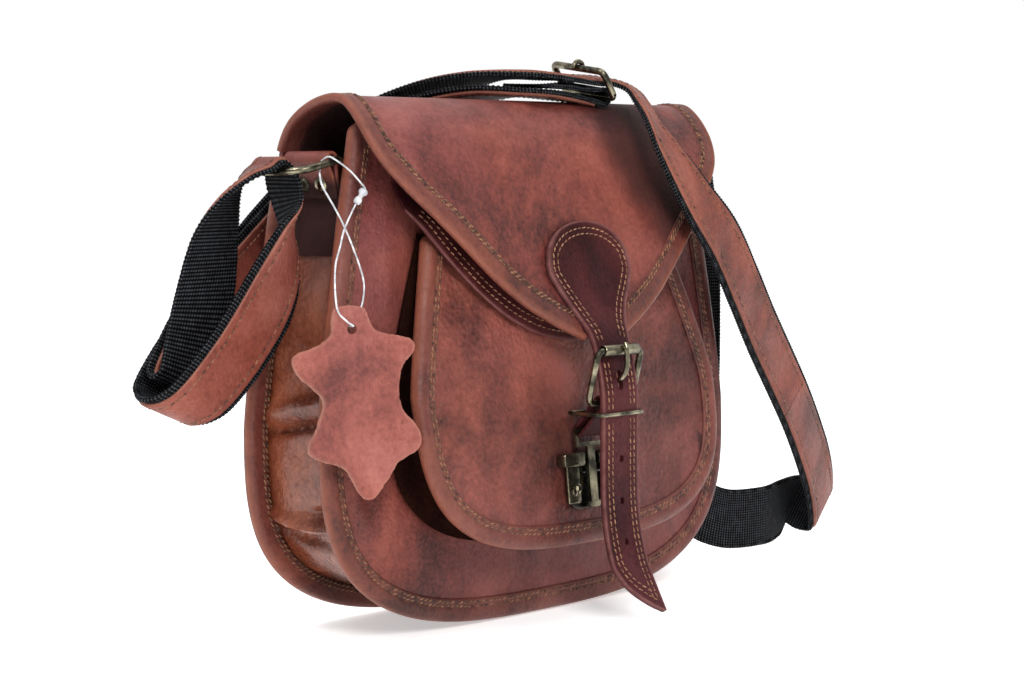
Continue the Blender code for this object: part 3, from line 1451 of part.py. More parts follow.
def main():
    """Make every piece of the bag."""
    clear_scene()
    leather = material("mottled_brown_leather", (0.19, 0.07, 0.05), 0.45, 0)
    welt_leather = material("welt_leather", (0.25, 0.09, 0.05), 0.4, 0)
    soft_leather = material("tan_gusset_leather", (0.3, 0.13, 0.07), 0.5, 0)
    dark_leather = material("dark_brown_leather", (0.09, 0.03, 0.03), 0.45, 0)
    facing_leather = material("strap_facing_leather", (0.28, 0.11, 0.06), 0.5, 0)
    tag_leather = material("tag_leather", (0.26, 0.09, 0.07), 0.6, 0)
    cloth = material("black_lining_cloth", (0.02, 0.02, 0.02), 0.9, 0)
    webbing = material("black_webbing", (0.02, 0.02, 0.02), 0.8, 0)
    brass = material("antique_brass", (0.2, 0.17, 0.09), 0.35, 1)
    steel = material("dark_plated_steel", (0.12, 0.11, 0.09), 0.4, 1)
    nylon = material("clear_nylon", (0.8, 0.8, 0.82), 0.2, 0)

    make_body(leather, welt_leather, soft_leather, cloth)
    make_pocket(leather, welt_leather, dark_leather)
    make_main_flap(leather, welt_leather)
    make_closure(dark_leather, brass)
    frame = make_clip(brass, steel)
    bar_up = TONGUE_NECK_TOP + TONGUE_LOOP_HEIGHT - TONGUE_WIRE / 2
    make_tab_and_keeper(frame.at(0, bar_up, sum(lever_planes()) / 2), dark_leather, brass)
    for side, name in ((-1, "left"), (1, "right")):
        make_ring_tab(side, name, leather, brass)
        make_ring(side, name, brass)
    make_shoulder_strap(facing_leather, webbing, brass)
    make_tag(tag_leather, nylon)


main()
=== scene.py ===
"""The looks of a brown leather crossbody satchel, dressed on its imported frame.

Metres, +Z up. X runs across the bag, its front faces -Y, and the origin is the middle of the back
panel's bottom edge, as in the CAD.
"""

import logging
import math
from dataclasses import dataclass, field, replace
from enum import Enum
from typing import Callable

import bpy
import numpy as np
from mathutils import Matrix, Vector, noise


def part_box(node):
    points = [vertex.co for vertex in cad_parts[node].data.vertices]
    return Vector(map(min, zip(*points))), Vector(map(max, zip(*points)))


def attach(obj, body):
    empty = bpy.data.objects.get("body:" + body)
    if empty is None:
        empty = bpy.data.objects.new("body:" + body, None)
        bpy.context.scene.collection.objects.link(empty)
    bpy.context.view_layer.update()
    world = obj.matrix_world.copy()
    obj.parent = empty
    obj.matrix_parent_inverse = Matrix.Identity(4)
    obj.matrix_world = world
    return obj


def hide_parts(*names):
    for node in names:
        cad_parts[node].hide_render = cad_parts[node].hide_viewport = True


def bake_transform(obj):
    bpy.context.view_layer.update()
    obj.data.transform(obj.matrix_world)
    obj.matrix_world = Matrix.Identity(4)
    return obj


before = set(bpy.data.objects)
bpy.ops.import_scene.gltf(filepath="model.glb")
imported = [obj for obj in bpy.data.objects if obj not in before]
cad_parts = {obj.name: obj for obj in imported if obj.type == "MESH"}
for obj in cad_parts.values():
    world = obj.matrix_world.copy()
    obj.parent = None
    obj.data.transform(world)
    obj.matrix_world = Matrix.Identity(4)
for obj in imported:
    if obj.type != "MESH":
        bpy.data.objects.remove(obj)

LOG = logging.getLogger("satchel")
MM = 0.001
# Edges that turn by more degrees stay sharp: on smooth pieces, cut ones, folded ones and webbing
CRISP, FIRM, SOFT, WOVEN = 40.0, 50.0, 60.0, 70.0
Colour = tuple[float, float, float]
Surface = Callable[[float, float], Vector]


class Side(Enum):
    """The two sides of the bag, as the sign of X."""

    LEFT = -1
    RIGHT = 1


class Ends(Enum):
    """How the two ends of a lofted piece are made."""

    CAPPED = "capped"
    JOINED = "joined"


# Curves


def cubic(before: np.ndarray, start: np.ndarray, end: np.ndarray, after: np.ndarray, t: float) -> np.ndarray:
    """A point of the Catmull-Rom span from start to end."""
    third = (3 * start - before - 3 * end + after) * t**3
    second = (2 * before - 5 * start + 4 * end - after) * t * t
    return 0.5 * (2 * start + (end - before) * t + second + third)


def trace(knots: list, spacing: float) -> tuple[list[list[float]], list[float]]:
    """A Catmull-Rom curve through knots, sampled about evenly.

    Args:
        knots: rows of numbers, the first three of which are a place.
        spacing: the distance between two samples, in metres.

    Returns:
        Rows of as many numbers as the knots have, and each row's place among the knots.
    """
    rows = np.array(knots, float)
    out, places = [], []
    for i in range(len(rows) - 1):
        before, start = rows[max(i - 1, 0)], rows[i]
        end, after = rows[i + 1], rows[min(i + 2, len(rows) - 1)]
        steps = max(1, round(float(np.linalg.norm(end[:3] - start[:3])) / spacing))
        for k in range(steps):
            out.append(cubic(before, start, end, after, k / steps).tolist())
            places.append(i + k / steps)
    return out + [rows[-1].tolist()], places + [len(rows) - 1.0]


def smooth(knots: list, spacing: float) -> list[list[float]]:
    """The rows of a trace alone."""
    return trace(knots, spacing)[0]


def closed_curve(knots: list, spacing: float) -> list[list[float]]:
    """A closed Catmull-Rom curve through knots."""
    rows = np.array(knots, float)
    count, out = len(rows), []
    for i in range(count):
        start, end = rows[i], rows[(i + 1) % count]
        steps = max(1, round(float(np.linalg.norm(end - start)) / spacing))
        for k in range(steps):
            out.append(cubic(rows[i - 1], start, end, rows[(i + 2) % count], k / steps).tolist())
    return out


def lengths_along(points: list[Vector]) -> list[float]:
    """The length of a polyline up to each of its points."""
    lengths = [0.0]
    for a, b in zip(points, points[1:]):
        lengths.append(lengths[-1] + (b - a).length)
    return lengths


def even(points: list[Vector], spacing: float) -> list[Vector]:
    """The same polyline with its points at even distances."""
    lengths = lengths_along(points)
    count = max(2, round(lengths[-1] / spacing) + 1)
    out, i = [], 0
    for k in range(count):
        want = lengths[-1] * k / (count - 1)
        while i < len(points) - 2 and lengths[i + 1] < want:
            i += 1
        span = max(lengths[i + 1] - lengths[i], 1e-9)
        out.append(points[i].lerp(points[i + 1], (want - lengths[i]) / span))
    return out


def even_loop(points: list[Vector], spacing: float) -> list[Vector]:
    """The same closed path with its points at even distances."""
    return even(points + [points[0]], spacing)[:-1]


def locate(share: float, count: int) -> tuple[int, float]:
    """The span among a count of rows at a share of their run, and the share within that span."""
    place = min(max(share, 0.0), 1.0) * (count - 1)
    i = min(int(place), count - 2)
    return i, place - i


def between(rows: list, share: float) -> list[float]:
    """The row of numbers at a share of a table's run."""
    i, t = locate(share, len(rows))
    return [a + (b - a) * t for a, b in zip(rows[i], rows[i + 1])]


def heading(points: list[Vector], i: int) -> Vector:
    """The direction of an open polyline at one of its points."""
    return (points[min(i + 1, len(points) - 1)] - points[max(i - 1, 0)]).normalized()


def full_turn(count: int) -> list[float]:
    """The angles of a full turn in equal steps."""
    return [math.tau * k / count for k in range(count)]


def ripple(place: Vector, scale: float, seed: float = 0.0) -> float:
    """Smooth noise from -1 to 1 at a place; scale is waves per metre."""
    return noise.noise(place * scale + Vector((seed, seed * 0.7, -seed)))


def bump_at(value: float, middle: float, reach: float) -> float:
    """A round bump of height 1 at the middle, which fades over reach."""
    return math.exp(-(((value - middle) / reach) ** 2))


def step_up(value: float, start: float, end: float) -> float:
    """From 0 before start to 1 after end, eased."""
    t = min(max((value - start) / (end - start), 0.0), 1.0)
    return t * t * (3 - 2 * t)


# Meshes


def deselect() -> None:
    """Leave edit mode and select nothing."""
    if bpy.context.object and bpy.context.object.mode != "OBJECT":
        bpy.ops.object.mode_set(mode="OBJECT")
    bpy.ops.object.select_all(action="DESELECT")


def pick(obj: bpy.types.Object) -> None:
    """Select one object alone and make it the active one."""
    deselect()
    obj.select_set(True)
    bpy.context.view_layer.objects.active = obj


def apply_modifiers(obj: bpy.types.Object) -> None:
    """Apply all of an object's modifiers."""
    pick(obj)
    for step in [m.name for m in obj.modifiers]:
        bpy.ops.object.modifier_apply(modifier=step)


def grid(name: str, rows: list[list[Vector]]) -> bpy.types.Object:
    """A grid primitive laid on rows of points, with its UV map in metres along and across.

    Args:
        name: the piece's name.
        rows: equal rows of places; the faces look along across x down.

    Returns:
        The new object, at the origin.
    """
    deselect()
    across, down = len(rows[0]), len(rows)
    bpy.ops.mesh.primitive_grid_add(x_subdivisions=across - 1, y_subdivisions=down - 1, size=1)
    made = bpy.context.active_object
    made.name = made.data.name = name
    made.data.vertices.foreach_set("co", np.array(rows, np.float32).reshape(-1))
    middle = rows[down // 2]
    column = [row[across // 2] for row in rows]
    layer = made.data.uv_layers.active
    uvs = np.zeros(len(layer.data) * 2, np.float32)
    layer.data.foreach_get("uv", uvs)
    for k, run in enumerate((middle, column)):
        uvs[k::2] = np.interp(uvs[k::2], np.linspace(0, 1, len(run)), lengths_along(run))
    layer.data.foreach_set("uv", uvs)
    made.data.update()
    return made


def mark(obj: bpy.types.Object, name: str, values: list[float]) -> None:
    """Store one number at each vertex, for a material to read."""
    layer = obj.data.attributes.new(name, "FLOAT", "POINT")
    layer.data.foreach_set("value", np.array(values, np.float32))


def mark_rim_wear_and_highlight(obj: bpy.types.Object, edge: list[Vector], reach: float) -> None:
    """Mark how near each vertex is to an edge, from 0 to 1, for the leather's lighter rim, which is partly
    worn edge and partly painted highlight.
    """
    spots = np.array([p[:] for p in even(edge, reach / 2)])
    places = np.zeros(len(obj.data.vertices) * 3, np.float32)
    obj.data.vertices.foreach_get("co", places)
    near = [float(np.min(np.linalg.norm(spots - place, axis=1))) for place in places.reshape(-1, 3)]
    mark(obj, "rim", [min(max(1.0 - gap / reach, 0.0), 1.0) for gap in near])


def thicken(obj: bpy.types.Object, wall: float, soften: float = 0.0) -> None:
    """Give a sheet its thickness behind its face, and break its edges."""
    solid = obj.modifiers.new("wall", "SOLIDIFY")
    solid.thickness = wall
    solid.offset = -1
    solid.use_rim = True
    if soften:
        bevel = obj.modifiers.new("soften", "BEVEL")
        bevel.width = soften
        bevel.segments = 2
        bevel.limit_method = "ANGLE"
        bevel.angle_limit = math.radians(50)
    apply_modifiers(obj)


def loft(name: str, rings: list[list[Vector]], ends: Ends = Ends.CAPPED) -> bpy.types.Object:
    """A skin over equal closed rings of points.

    Args:
        name: the piece's name.
        rings: the sections, in order.
        ends: whether the two ends are capped or meet.

    Returns:
        The new object, its faces turned outwards.
    """
    rows = [ring + [ring[0]] for ring in rings]
    if ends is Ends.JOINED:
        rows.append(list(rows[0]))
    made = grid(name, rows)
    pick(made)
    bpy.ops.object.mode_set(mode="EDIT")
    bpy.ops.mesh.select_all(action="SELECT")
    bpy.ops.mesh.remove_doubles(threshold=1e-6)
    if ends is Ends.CAPPED:
        bpy.ops.mesh.fill_holes(sides=0)
    bpy.ops.mesh.select_all(action="SELECT")
    bpy.ops.mesh.normals_make_consistent(inside=False)
    bpy.ops.object.mode_set(mode="OBJECT")
    return made


def shade(obj: bpy.types.Object, angle: float = CRISP) -> None:
    """Shade smooth, but keep edges sharp that turn by more than an angle in degrees."""
    pick(obj)
    bpy.ops.object.shade_smooth_by_angle(angle=math.radians(angle))


def wire(
    name: str,
    path: list[Vector],
    radius: float,
    ends: Ends = Ends.CAPPED,
    sides: int = 20,
    swell: Callable[[float], float] | None = None,
) -> bpy.types.Object:
    """A round bar along a path, with domed ends unless they meet.

    Args:
        name: the piece's name.
        path: the points of its middle line.
        radius: its radius.
        ends: JOINED where the path closes on itself.
        sides: how many faces go round it.
        swell: the share of the radius at a share of the length.

    Returns:
        The new object.
    """
    closed, last = ends is Ends.JOINED, len(path) - 1
    rings, up = [], None
    for i, here in enumerate(path):
        before = path[i - 1] if closed or i else path[0]
        after = path[(i + 1) % len(path)] if closed else path[min(i + 1, last)]
        along = (after - before).normalized()
        up = along.orthogonal() if up is None else up
        up = (up - along * up.dot(along)).normalized()
        side = along.cross(up)
        reach = radius * (swell(i / last) if swell else 1.0)
        rings.append([here + reach * (up * math.cos(a) + side * math.sin(a)) for a in full_turn(sides)])
    if closed:
        # Spread the twist between the last ring and the first over the whole run.
        start, end = rings[0][0] - path[0], rings[-1][0] - path[-1]
        along = (path[0] - path[-1]).normalized()
        slip = math.atan2(along.dot(end.cross(start)), end.dot(start))
        for i, here in enumerate(path):
            first = rings[i][0] - here
            quarter = rings[i][sides // 4] - here
            lead = slip * i / last
            angles = [a + lead for a in full_turn(sides)]
            rings[i] = [here + first * math.cos(a) + quarter * math.sin(a) for a in angles]
    else:
        for place, into, put in ((path[0], path[0] - path[1], 0), (path[-1], path[-1] - path[-2], None)):
            into = into.normalized() * radius
            base = rings[0] if put == 0 else rings[-1]
            for share in (0.5, 0.8, 0.97):
                shrink = math.sqrt(1 - share * share)
                ring = [place + (p - place) * shrink + into * share * 0.6 for p in base]
                rings.insert(0, ring) if put == 0 else rings.append(ring)
    made = loft(name, rings, ends)
    shade(made, SOFT)
    return made


def join(name: str, pieces: list[bpy.types.Object]) -> bpy.types.Object:
    """Join several objects into the first one, and name the result."""
    pick(pieces[0])
    for piece in pieces[1:]:
        piece.select_set(True)
    bpy.ops.object.join()
    made = bpy.context.active_object
    made.name = made.data.name = name
    return made


def rounded(corners: list[Vector], radius: float, steps: int = 6) -> list[Vector]:
    """A closed path through corners, each rounded off."""
    path = []
    for i, corner in enumerate(corners):
        start = corner + (corners[i - 1] - corner).normalized() * radius
        end = corner + (corners[(i + 1) % len(corners)] - corner).normalized() * radius
        for k in range(steps + 1):
            t = k / steps
            path.append(start * (1 - t) ** 2 + corner * (2 * t * (1 - t)) + end * t * t)
    return path


def strip_section(half: float, cut: float) -> list[tuple[float, float]]:
    """A flat strip's section with its corners cut: metres across, and shares of its thickness."""
    left, right = -half + cut, half - cut
    top = [(-half, -0.2), (-half, 0.2), (left, 0.5), (right, 0.5)]
    return top + [(half, 0.2), (half, -0.2), (right, -0.5), (left, -0.5)]


def carve(obj: bpy.types.Object, cutters: list[bpy.types.Object], operation: str = "DIFFERENCE") -> None:
    """Cut solids out of a piece, or keep only what they share, and delete them."""
    for cutter in cutters:
        step = obj.modifiers.new("carve", "BOOLEAN")
        step.operation = operation
        step.solver = "EXACT"
        step.object = cutter
    apply_modifiers(obj)
    for cutter in cutters:
        bpy.data.objects.remove(cutter, do_unlink=True)


# Materials


class Recipe:
    """A node material in the making. Patterns read Object coordinates or the piece's UV map."""

    def __init__(self, name: str) -> None:
        """Start from one Principled shader."""
        self.material = bpy.data.materials.new(name)
        self.material.use_nodes = True
        self.tree = self.material.node_tree
        self.shader = self.tree.nodes["Principled BSDF"]
        self.object = self.add("TexCoord").outputs["Object"]
        self.uv = self.add("TexCoord").outputs["UV"]

    def add(self, kind: str, inputs: dict | None = None, **settings: object) -> bpy.types.Node:
        """Add a shader node.

        Args:
            kind: the node type's name after "ShaderNode".
            inputs: for each input's name or number, a socket to link or a value.
            settings: the node's own settings.

        Returns:
            The node.
        """
        node = self.tree.nodes.new("ShaderNode" + kind)
        for key, value in settings.items():
            setattr(node, key, value)
        for key, value in (inputs or {}).items():
            self.feed(node.inputs[key], value)
        return node

    def feed(self, socket: bpy.types.NodeSocket, value: object) -> None:
        """Link a socket, or set its value."""
        if isinstance(value, bpy.types.NodeSocket):
            self.tree.links.new(value, socket)
        else:
            socket.default_value = value

    def stretch(self, scale: tuple, turn: tuple = (0.0, 0.0, 0.0), source: object = None) -> object:
        """Coordinates that are turned and then scaled."""
        inputs = {"Vector": source or self.object, "Scale": scale, "Rotation": turn}
        return self.add("Mapping", inputs).outputs[0]

    def cloud(self, scale: float, detail: float = 2.0, vector: object = None, **more: float) -> object:
        """Noise from 0 to 1."""
        inputs = {"Vector": vector or self.object, "Scale": scale, "Detail": detail, **more}
        return self.add("TexNoise", inputs).outputs[0]

    def cells(self, scale: float, vector: object) -> object:
        """Softened distances in a field of cells."""
        inputs = {"Vector": vector, "Scale": scale}
        return self.add("TexVoronoi", inputs, feature="SMOOTH_F1").outputs["Distance"]

    def math(self, operation: str, a: object, b: object = 0.0) -> object:
        """One step of arithmetic."""
        return self.add("Math", {0: a, 1: b}, operation=operation).outputs[0]

    def plus(self, a: object, b: object) -> object:
        """A sum."""
        return self.math("ADD", a, b)

    def times(self, a: object, b: object) -> object:
        """A product."""
        return self.math("MULTIPLY", a, b)

    def spread(
        self, value: object, low: float, high: float, to_low: float = 0.0, to_high: float = 1.0
    ) -> object:
        """Map a range to another, eased and held at its ends."""
        inputs = {0: value, 1: low, 2: high, 3: to_low, 4: to_high}
        return self.add("MapRange", inputs, interpolation_type="SMOOTHSTEP").outputs[0]

    def ramp(self, value: object, stops: list[tuple[float, Colour]]) -> object:
        """Colours along a value."""
        node = self.add("ValToRGB", {0: value})
        while len(node.color_ramp.elements) < len(stops):
            node.color_ramp.elements.new(0.5)
        for element, (at, colour) in zip(node.color_ramp.elements, stops):
            element.position = at
            element.color = (*colour, 1.0)
        return node.outputs[0]

    def mix(self, share: object, a: object, b: object, blend: str = "MIX") -> object:
        """Mix two colours."""
        a = (*a, 1.0) if isinstance(a, tuple) else a
        b = (*b, 1.0) if isinstance(b, tuple) else b
        node = self.add("Mix", {0: share, 6: a, 7: b}, data_type="RGBA", blend_type=blend)
        return node.outputs[2]

    def bump(self, height: object, depth: float, below: object = None) -> object:
        """Relief of a depth in metres, on top of another relief."""
        inputs = {"Height": height, "Distance": depth, "Strength": 1.0}
        if below is not None:
            inputs["Normal"] = below
        return self.add("Bump", inputs).outputs[0]

    def attribute(self, name: str) -> object:
        """A number that the piece's vertices carry."""
        return self.add("Attribute", attribute_name=name).outputs["Fac"]

    def done(
        self, colour: object, roughness: object, normal: object = None, **more: object
    ) -> bpy.types.Material:
        """Feed the shader.

        Args:
            colour: a colour or its socket.
            roughness: a number or its socket.
            normal: the relief's socket.
            more: other inputs, with underscores for spaces in their names.

        Returns:
            The finished material.
        """
        self.feed(self.shader.inputs["Base Color"], (*colour, 1.0) if isinstance(colour, tuple) else colour)
        self.feed(self.shader.inputs["Roughness"], roughness)
        if normal is not None:
            self.feed(self.shader.inputs["Normal"], normal)
        for key, value in more.items():
            self.feed(self.shader.inputs[key.replace("_", " ")], value)
        return self.material


def scaled(colour: Colour, share: float) -> Colour:
    """A colour made darker or lighter by a share."""
    return tuple(share * c for c in colour)


@dataclass(frozen=True)
class Leather:
    """Leather in three tones with smudges and pores, painted shade where its vertices mark it, and a colour of
    its own for a rim that is partly worn edge and partly painted highlight.
    """

    name: str
    dark: Colour
    middle: Colour
    light: Colour
    rim: Colour
    tone_scale: float = 16.0
    smudge: float = 0.5
    grain: float = 0.16 * MM
    grain_scale: float = 750.0
    streak: float = 0.5
    rough: tuple[float, float] = (0.40, 0.58)
    shine: float = 0.32

    def make(self) -> bpy.types.Material:
        """Build the node material."""
        r = Recipe(self.name)
        warp = r.cloud(9.0, 2.0)
        tone = r.cloud(self.tone_scale, 4.0, Roughness=0.62, Distortion=0.5)
        streaks = r.cloud(60.0, 4.0, r.stretch((1.0, 1.0, 0.22), (0.0, 0.25, 0.1)), Roughness=0.6)
        fine = r.cloud(420.0, 3.0, Roughness=0.7)
        drawn = 0.35 * self.streak
        value = r.plus(r.times(tone, 1.0 - drawn), r.times(streaks, drawn))
        value = r.plus(value, r.times(r.math("SUBTRACT", fine, 0.5), 0.30))
        # The tones, then a warm or cool cast and dark smudges over them
        colour = r.ramp(value, [(0.36, self.dark), (0.50, self.middle), (0.65, self.light)])
        blotch = r.cloud(26.0, 5.0, r.stretch((1.0, 1.0, 0.6), (0.0, 0.5, 0.0)), Roughness=0.7, Distortion=0.8)
        smudge = r.times(r.spread(blotch, 0.56, 0.74), r.spread(warp, 0.42, 0.62))
        warm, cool = (1.04, 0.98, 0.80), (0.90, 0.95, 1.04)
        tint = r.ramp(r.cloud(7.0, 3.0, Roughness=0.6), [(0.36, warm), (0.64, cool)])
        colour = r.mix(0.9, colour, tint, "MULTIPLY")
        colour = r.mix(r.times(smudge, self.smudge), colour, scaled(self.dark, 0.28))
        pores = r.cells(self.grain_scale, r.stretch((1.0, 1.0, 0.8)))
        colour = r.mix(r.spread(pores, 0.62, 0.95, 0.0, 0.55), colour, scaled(self.dark, 0.45))
        # The marks that the piece's vertices carry: a lighter rim, partly worn edge and partly painted
        # highlight, and painted shade (on the pocket, darker patches), which is dark and dull
        rim = r.attribute("rim")
        rim_wear_and_highlight = r.times(rim, r.spread(r.cloud(160.0, 3.0), 0.25, 0.6, 0.55, 1.0))
        colour = r.mix(rim_wear_and_highlight, colour, self.rim)
        crease = r.attribute("crease")
        colour = r.mix(r.times(crease, 0.9), colour, scaled(self.dark, 0.2))
        relief = r.bump(r.spread(pores, 0.9, 0.1), self.grain)
        relief = r.bump(r.cloud(1500.0, 3.0), self.grain * 0.8, relief)
        drawn_out = r.stretch((1.0, 1.0, 0.4), (0.0, 0.3, 0.0))
        relief = r.bump(r.cloud(130.0, 3.0, drawn_out), self.grain * 3.0, relief)
        gloss = r.spread(r.cloud(45.0, 3.0), 0.3, 0.7, *self.rough)
        gloss = r.math("MAXIMUM", gloss, r.times(crease, 0.92))
        return r.done(colour, gloss, relief, Specular_IOR_Level=self.shine)


@dataclass(frozen=True)
class Thread:
    """Waxed sewing thread: two colours by stitch, and a twist."""

    name: str
    dark: Colour
    light: Colour

    def make(self) -> bpy.types.Material:
        """Build the node material."""
        r = Recipe(self.name)
        patchy = r.cloud(420.0, 2.0)
        colour = r.ramp(patchy, [(0.38, self.dark), (0.62, self.light)])
        askew = r.stretch((1.0, 1.0, 1.0), (0.6, 0.6, 0.6))
        twist = r.add("TexWave", {"Vector": askew, "Scale": 900.0}).outputs["Fac"]
        return r.done(colour, 0.62, r.bump(twist, 0.08 * MM))


@dataclass(frozen=True)
class Webbing:
    """Woven strap: ribs across it, parted into columns of warp."""

    name: str
    dark: Colour
    light: Colour
    rib: float = 1.8 * MM

    def make(self) -> bpy.types.Material:
        """Build the node material."""
        r = Recipe(self.name)
        split = r.add("SeparateXYZ", {0: r.uv})
        across, along = split.outputs[0], split.outputs[1]
        wave = r.math("ABSOLUTE", r.math("SINE", r.times(along, math.pi / self.rib)))
        columns = r.math("COSINE", r.times(across, math.tau / (1.35 * MM)))
        height = r.times(wave, r.plus(r.times(columns, 0.22), 0.78))
        fibre = r.cloud(1.0, 3.0, r.stretch((3200.0, 700.0, 1.0), source=r.uv))
        height = r.plus(r.times(height, 0.85), r.times(fibre, 0.15))
        # Painted highlight on the ribs' crests and painted shade in the hollows between them: the colour
        # follows the ribs' height, with a random tone mixed in.
        value = r.plus(r.times(height, 0.7), r.times(r.cloud(300.0, 3.0), 0.3))
        colour = r.ramp(value, [(0.50, self.dark), (0.84, self.light)])
        return r.done(colour, 0.78, r.bump(height, 0.30 * MM), Specular_IOR_Level=0.08)


@dataclass(frozen=True)
class Metal:
    """Antique plating: dark in its hollows, rubbed bright in patches."""

    name: str
    dark: Colour
    bright: Colour
    rough: tuple[float, float] = (0.24, 0.46)

    def make(self) -> bpy.types.Material:
        """Build the node material."""
        r = Recipe(self.name)
        patina = r.cloud(120.0, 3.0, Roughness=0.55)
        colour = r.ramp(patina, [(0.36, self.dark), (0.64, self.bright)])
        marks = r.cloud(900.0, 3.0)
        gloss = r.spread(patina, 0.3, 0.7, self.rough[1], self.rough[0])
        return r.done(colour, gloss, r.bump(marks, 0.03 * MM), Metallic=1.0)


@dataclass(frozen=True)
class Cloth:
    """Plain woven lining."""

    name: str
    colour: Colour

    def make(self) -> bpy.types.Material:
        """Build the node material."""
        r = Recipe(self.name)
        askew = r.stretch((1.0, 1.0, 1.0), (0.4, 0.4, 0.4))
        weave = r.add("TexChecker", {"Vector": askew, "Scale": 1600.0}).outputs["Fac"]
        tone = r.mix(r.cloud(40.0, 3.0), self.colour, scaled(self.colour, 1.8))
        return r.done(tone, 0.9, r.bump(weave, 0.1 * MM))


@dataclass(frozen=True)
class Nylon:
    """Clear moulded nylon, a little milky."""

    name: str

    def make(self) -> bpy.types.Material:
        """Build the node material."""
        r = Recipe(self.name)
        milky = r.ramp(r.cloud(300.0, 2.0), [(0.35, (0.48, 0.50, 0.54)), (0.62, (0.94, 0.95, 0.97))])
        relief = r.bump(r.cloud(700.0, 2.0), 0.05 * MM)
        return r.done(milky, 0.22, relief, Transmission_Weight=0.35, IOR=1.5)


@dataclass(frozen=True)
class Finishes:
    """Every finish of the bag, made once."""

    hide: bpy.types.Material
    pocket_hide: bpy.types.Material
    welt: bpy.types.Material
    gusset: bpy.types.Material
    shade: bpy.types.Material
    dark: bpy.types.Material
    facing: bpy.types.Material
    tag: bpy.types.Material
    lining: bpy.types.Material
    webbing: bpy.types.Material
    brass: bpy.types.Material
    steel: bpy.types.Material
    black: bpy.types.Material
    nylon: bpy.types.Material
    brown_thread: bpy.types.Material
    gold_thread: bpy.types.Material

    @staticmethod
    def make() -> "Finishes":
        """Build all node materials."""
        edge = (0.24, 0.070, 0.032)
        hide = Leather(
            "mottled_hide",
            (0.042, 0.010, 0.010), (0.148, 0.034, 0.029), (0.245, 0.066, 0.054), edge,
            shine=0.28,
        )
        recipes = {
            "hide": hide,
            "pocket_hide": replace(
                hide, name="pebbled_hide", middle=(0.136, 0.035, 0.028),
                smudge=0.95, grain=0.34 * MM, grain_scale=520.0,
            ),
            "welt": Leather(
                "burnished_welt",
                (0.045, 0.012, 0.010), (0.118, 0.030, 0.023), (0.185, 0.054, 0.038), (0.225, 0.066, 0.036),
                smudge=0.4, streak=0.2,
            ),
            "gusset": Leather(
                "creased_gusset",
                (0.046, 0.010, 0.006), (0.140, 0.033, 0.016), (0.270, 0.082, 0.045), edge,
                smudge=0.45, rough=(0.20, 0.34), shine=0.50,
            ),
            # Painted shade: near-black hide for a piece that lies in deep shade
            "shade": Leather(
                "shaded_hide",
                (0.003, 0.002, 0.002), (0.008, 0.003, 0.003), (0.020, 0.007, 0.005), edge,
                shine=0.0,
            ),
            "dark": Leather(
                "dark_trim",
                (0.020, 0.004, 0.005), (0.044, 0.0085, 0.0105), (0.078, 0.018, 0.020), (0.190, 0.078, 0.072),
                smudge=0.3, streak=0.3, shine=0.09,
            ),
            "facing": Leather(
                "strap_hide",
                (0.085, 0.019, 0.013), (0.188, 0.043, 0.028), (0.270, 0.078, 0.054), (0.340, 0.150, 0.105),
                shine=0.22,
            ),
            "tag": Leather(
                "tag_hide",
                (0.110, 0.027, 0.024), (0.240, 0.064, 0.053), (0.350, 0.116, 0.096), (0.42, 0.20, 0.14),
                smudge=0.3, rough=(0.5, 0.66),
            ),
            "lining": Cloth("lining_cloth", (0.012, 0.011, 0.012)),
            "webbing": Webbing("ribbed_webbing", (0.0008, 0.0008, 0.0010), (0.060, 0.064, 0.074)),
            "brass": Metal("antique_brass", (0.040, 0.037, 0.027), (0.330, 0.295, 0.200), (0.18, 0.42)),
            "steel": Metal("plated_steel", (0.060, 0.060, 0.058), (0.200, 0.195, 0.180)),
            "black": Metal("blackened_steel", (0.012, 0.012, 0.011), (0.120, 0.115, 0.095)),
            "nylon": Nylon("clear_nylon"),
            "brown_thread": Thread("brown_thread", (0.035, 0.016, 0.010), (0.270, 0.130, 0.066)),
            "gold_thread": Thread("gold_thread", (0.130, 0.052, 0.026), (0.370, 0.185, 0.098)),
        }
        return Finishes(**{name: recipe.make() for name, recipe in recipes.items()})


# The record's material slot of each finish; thread has none
SLOTS = {
    "mottled_hide": "mottled_brown_leather",
    "pebbled_hide": "mottled_brown_leather",
    "burnished_welt": "welt_leather",
    "creased_gusset": "tan_gusset_leather",
    "shaded_hide": "dark_brown_leather",
    "dark_trim": "dark_brown_leather",
    "strap_hide": "strap_facing_leather",
    "tag_hide": "tag_leather",
    "lining_cloth": "black_lining_cloth",
    "ribbed_webbing": "black_webbing",
    "antique_brass": "antique_brass",
    "plated_steel": "dark_plated_steel",
    "blackened_steel": "dark_plated_steel",
    "clear_nylon": "clear_nylon",
}


# Stitching


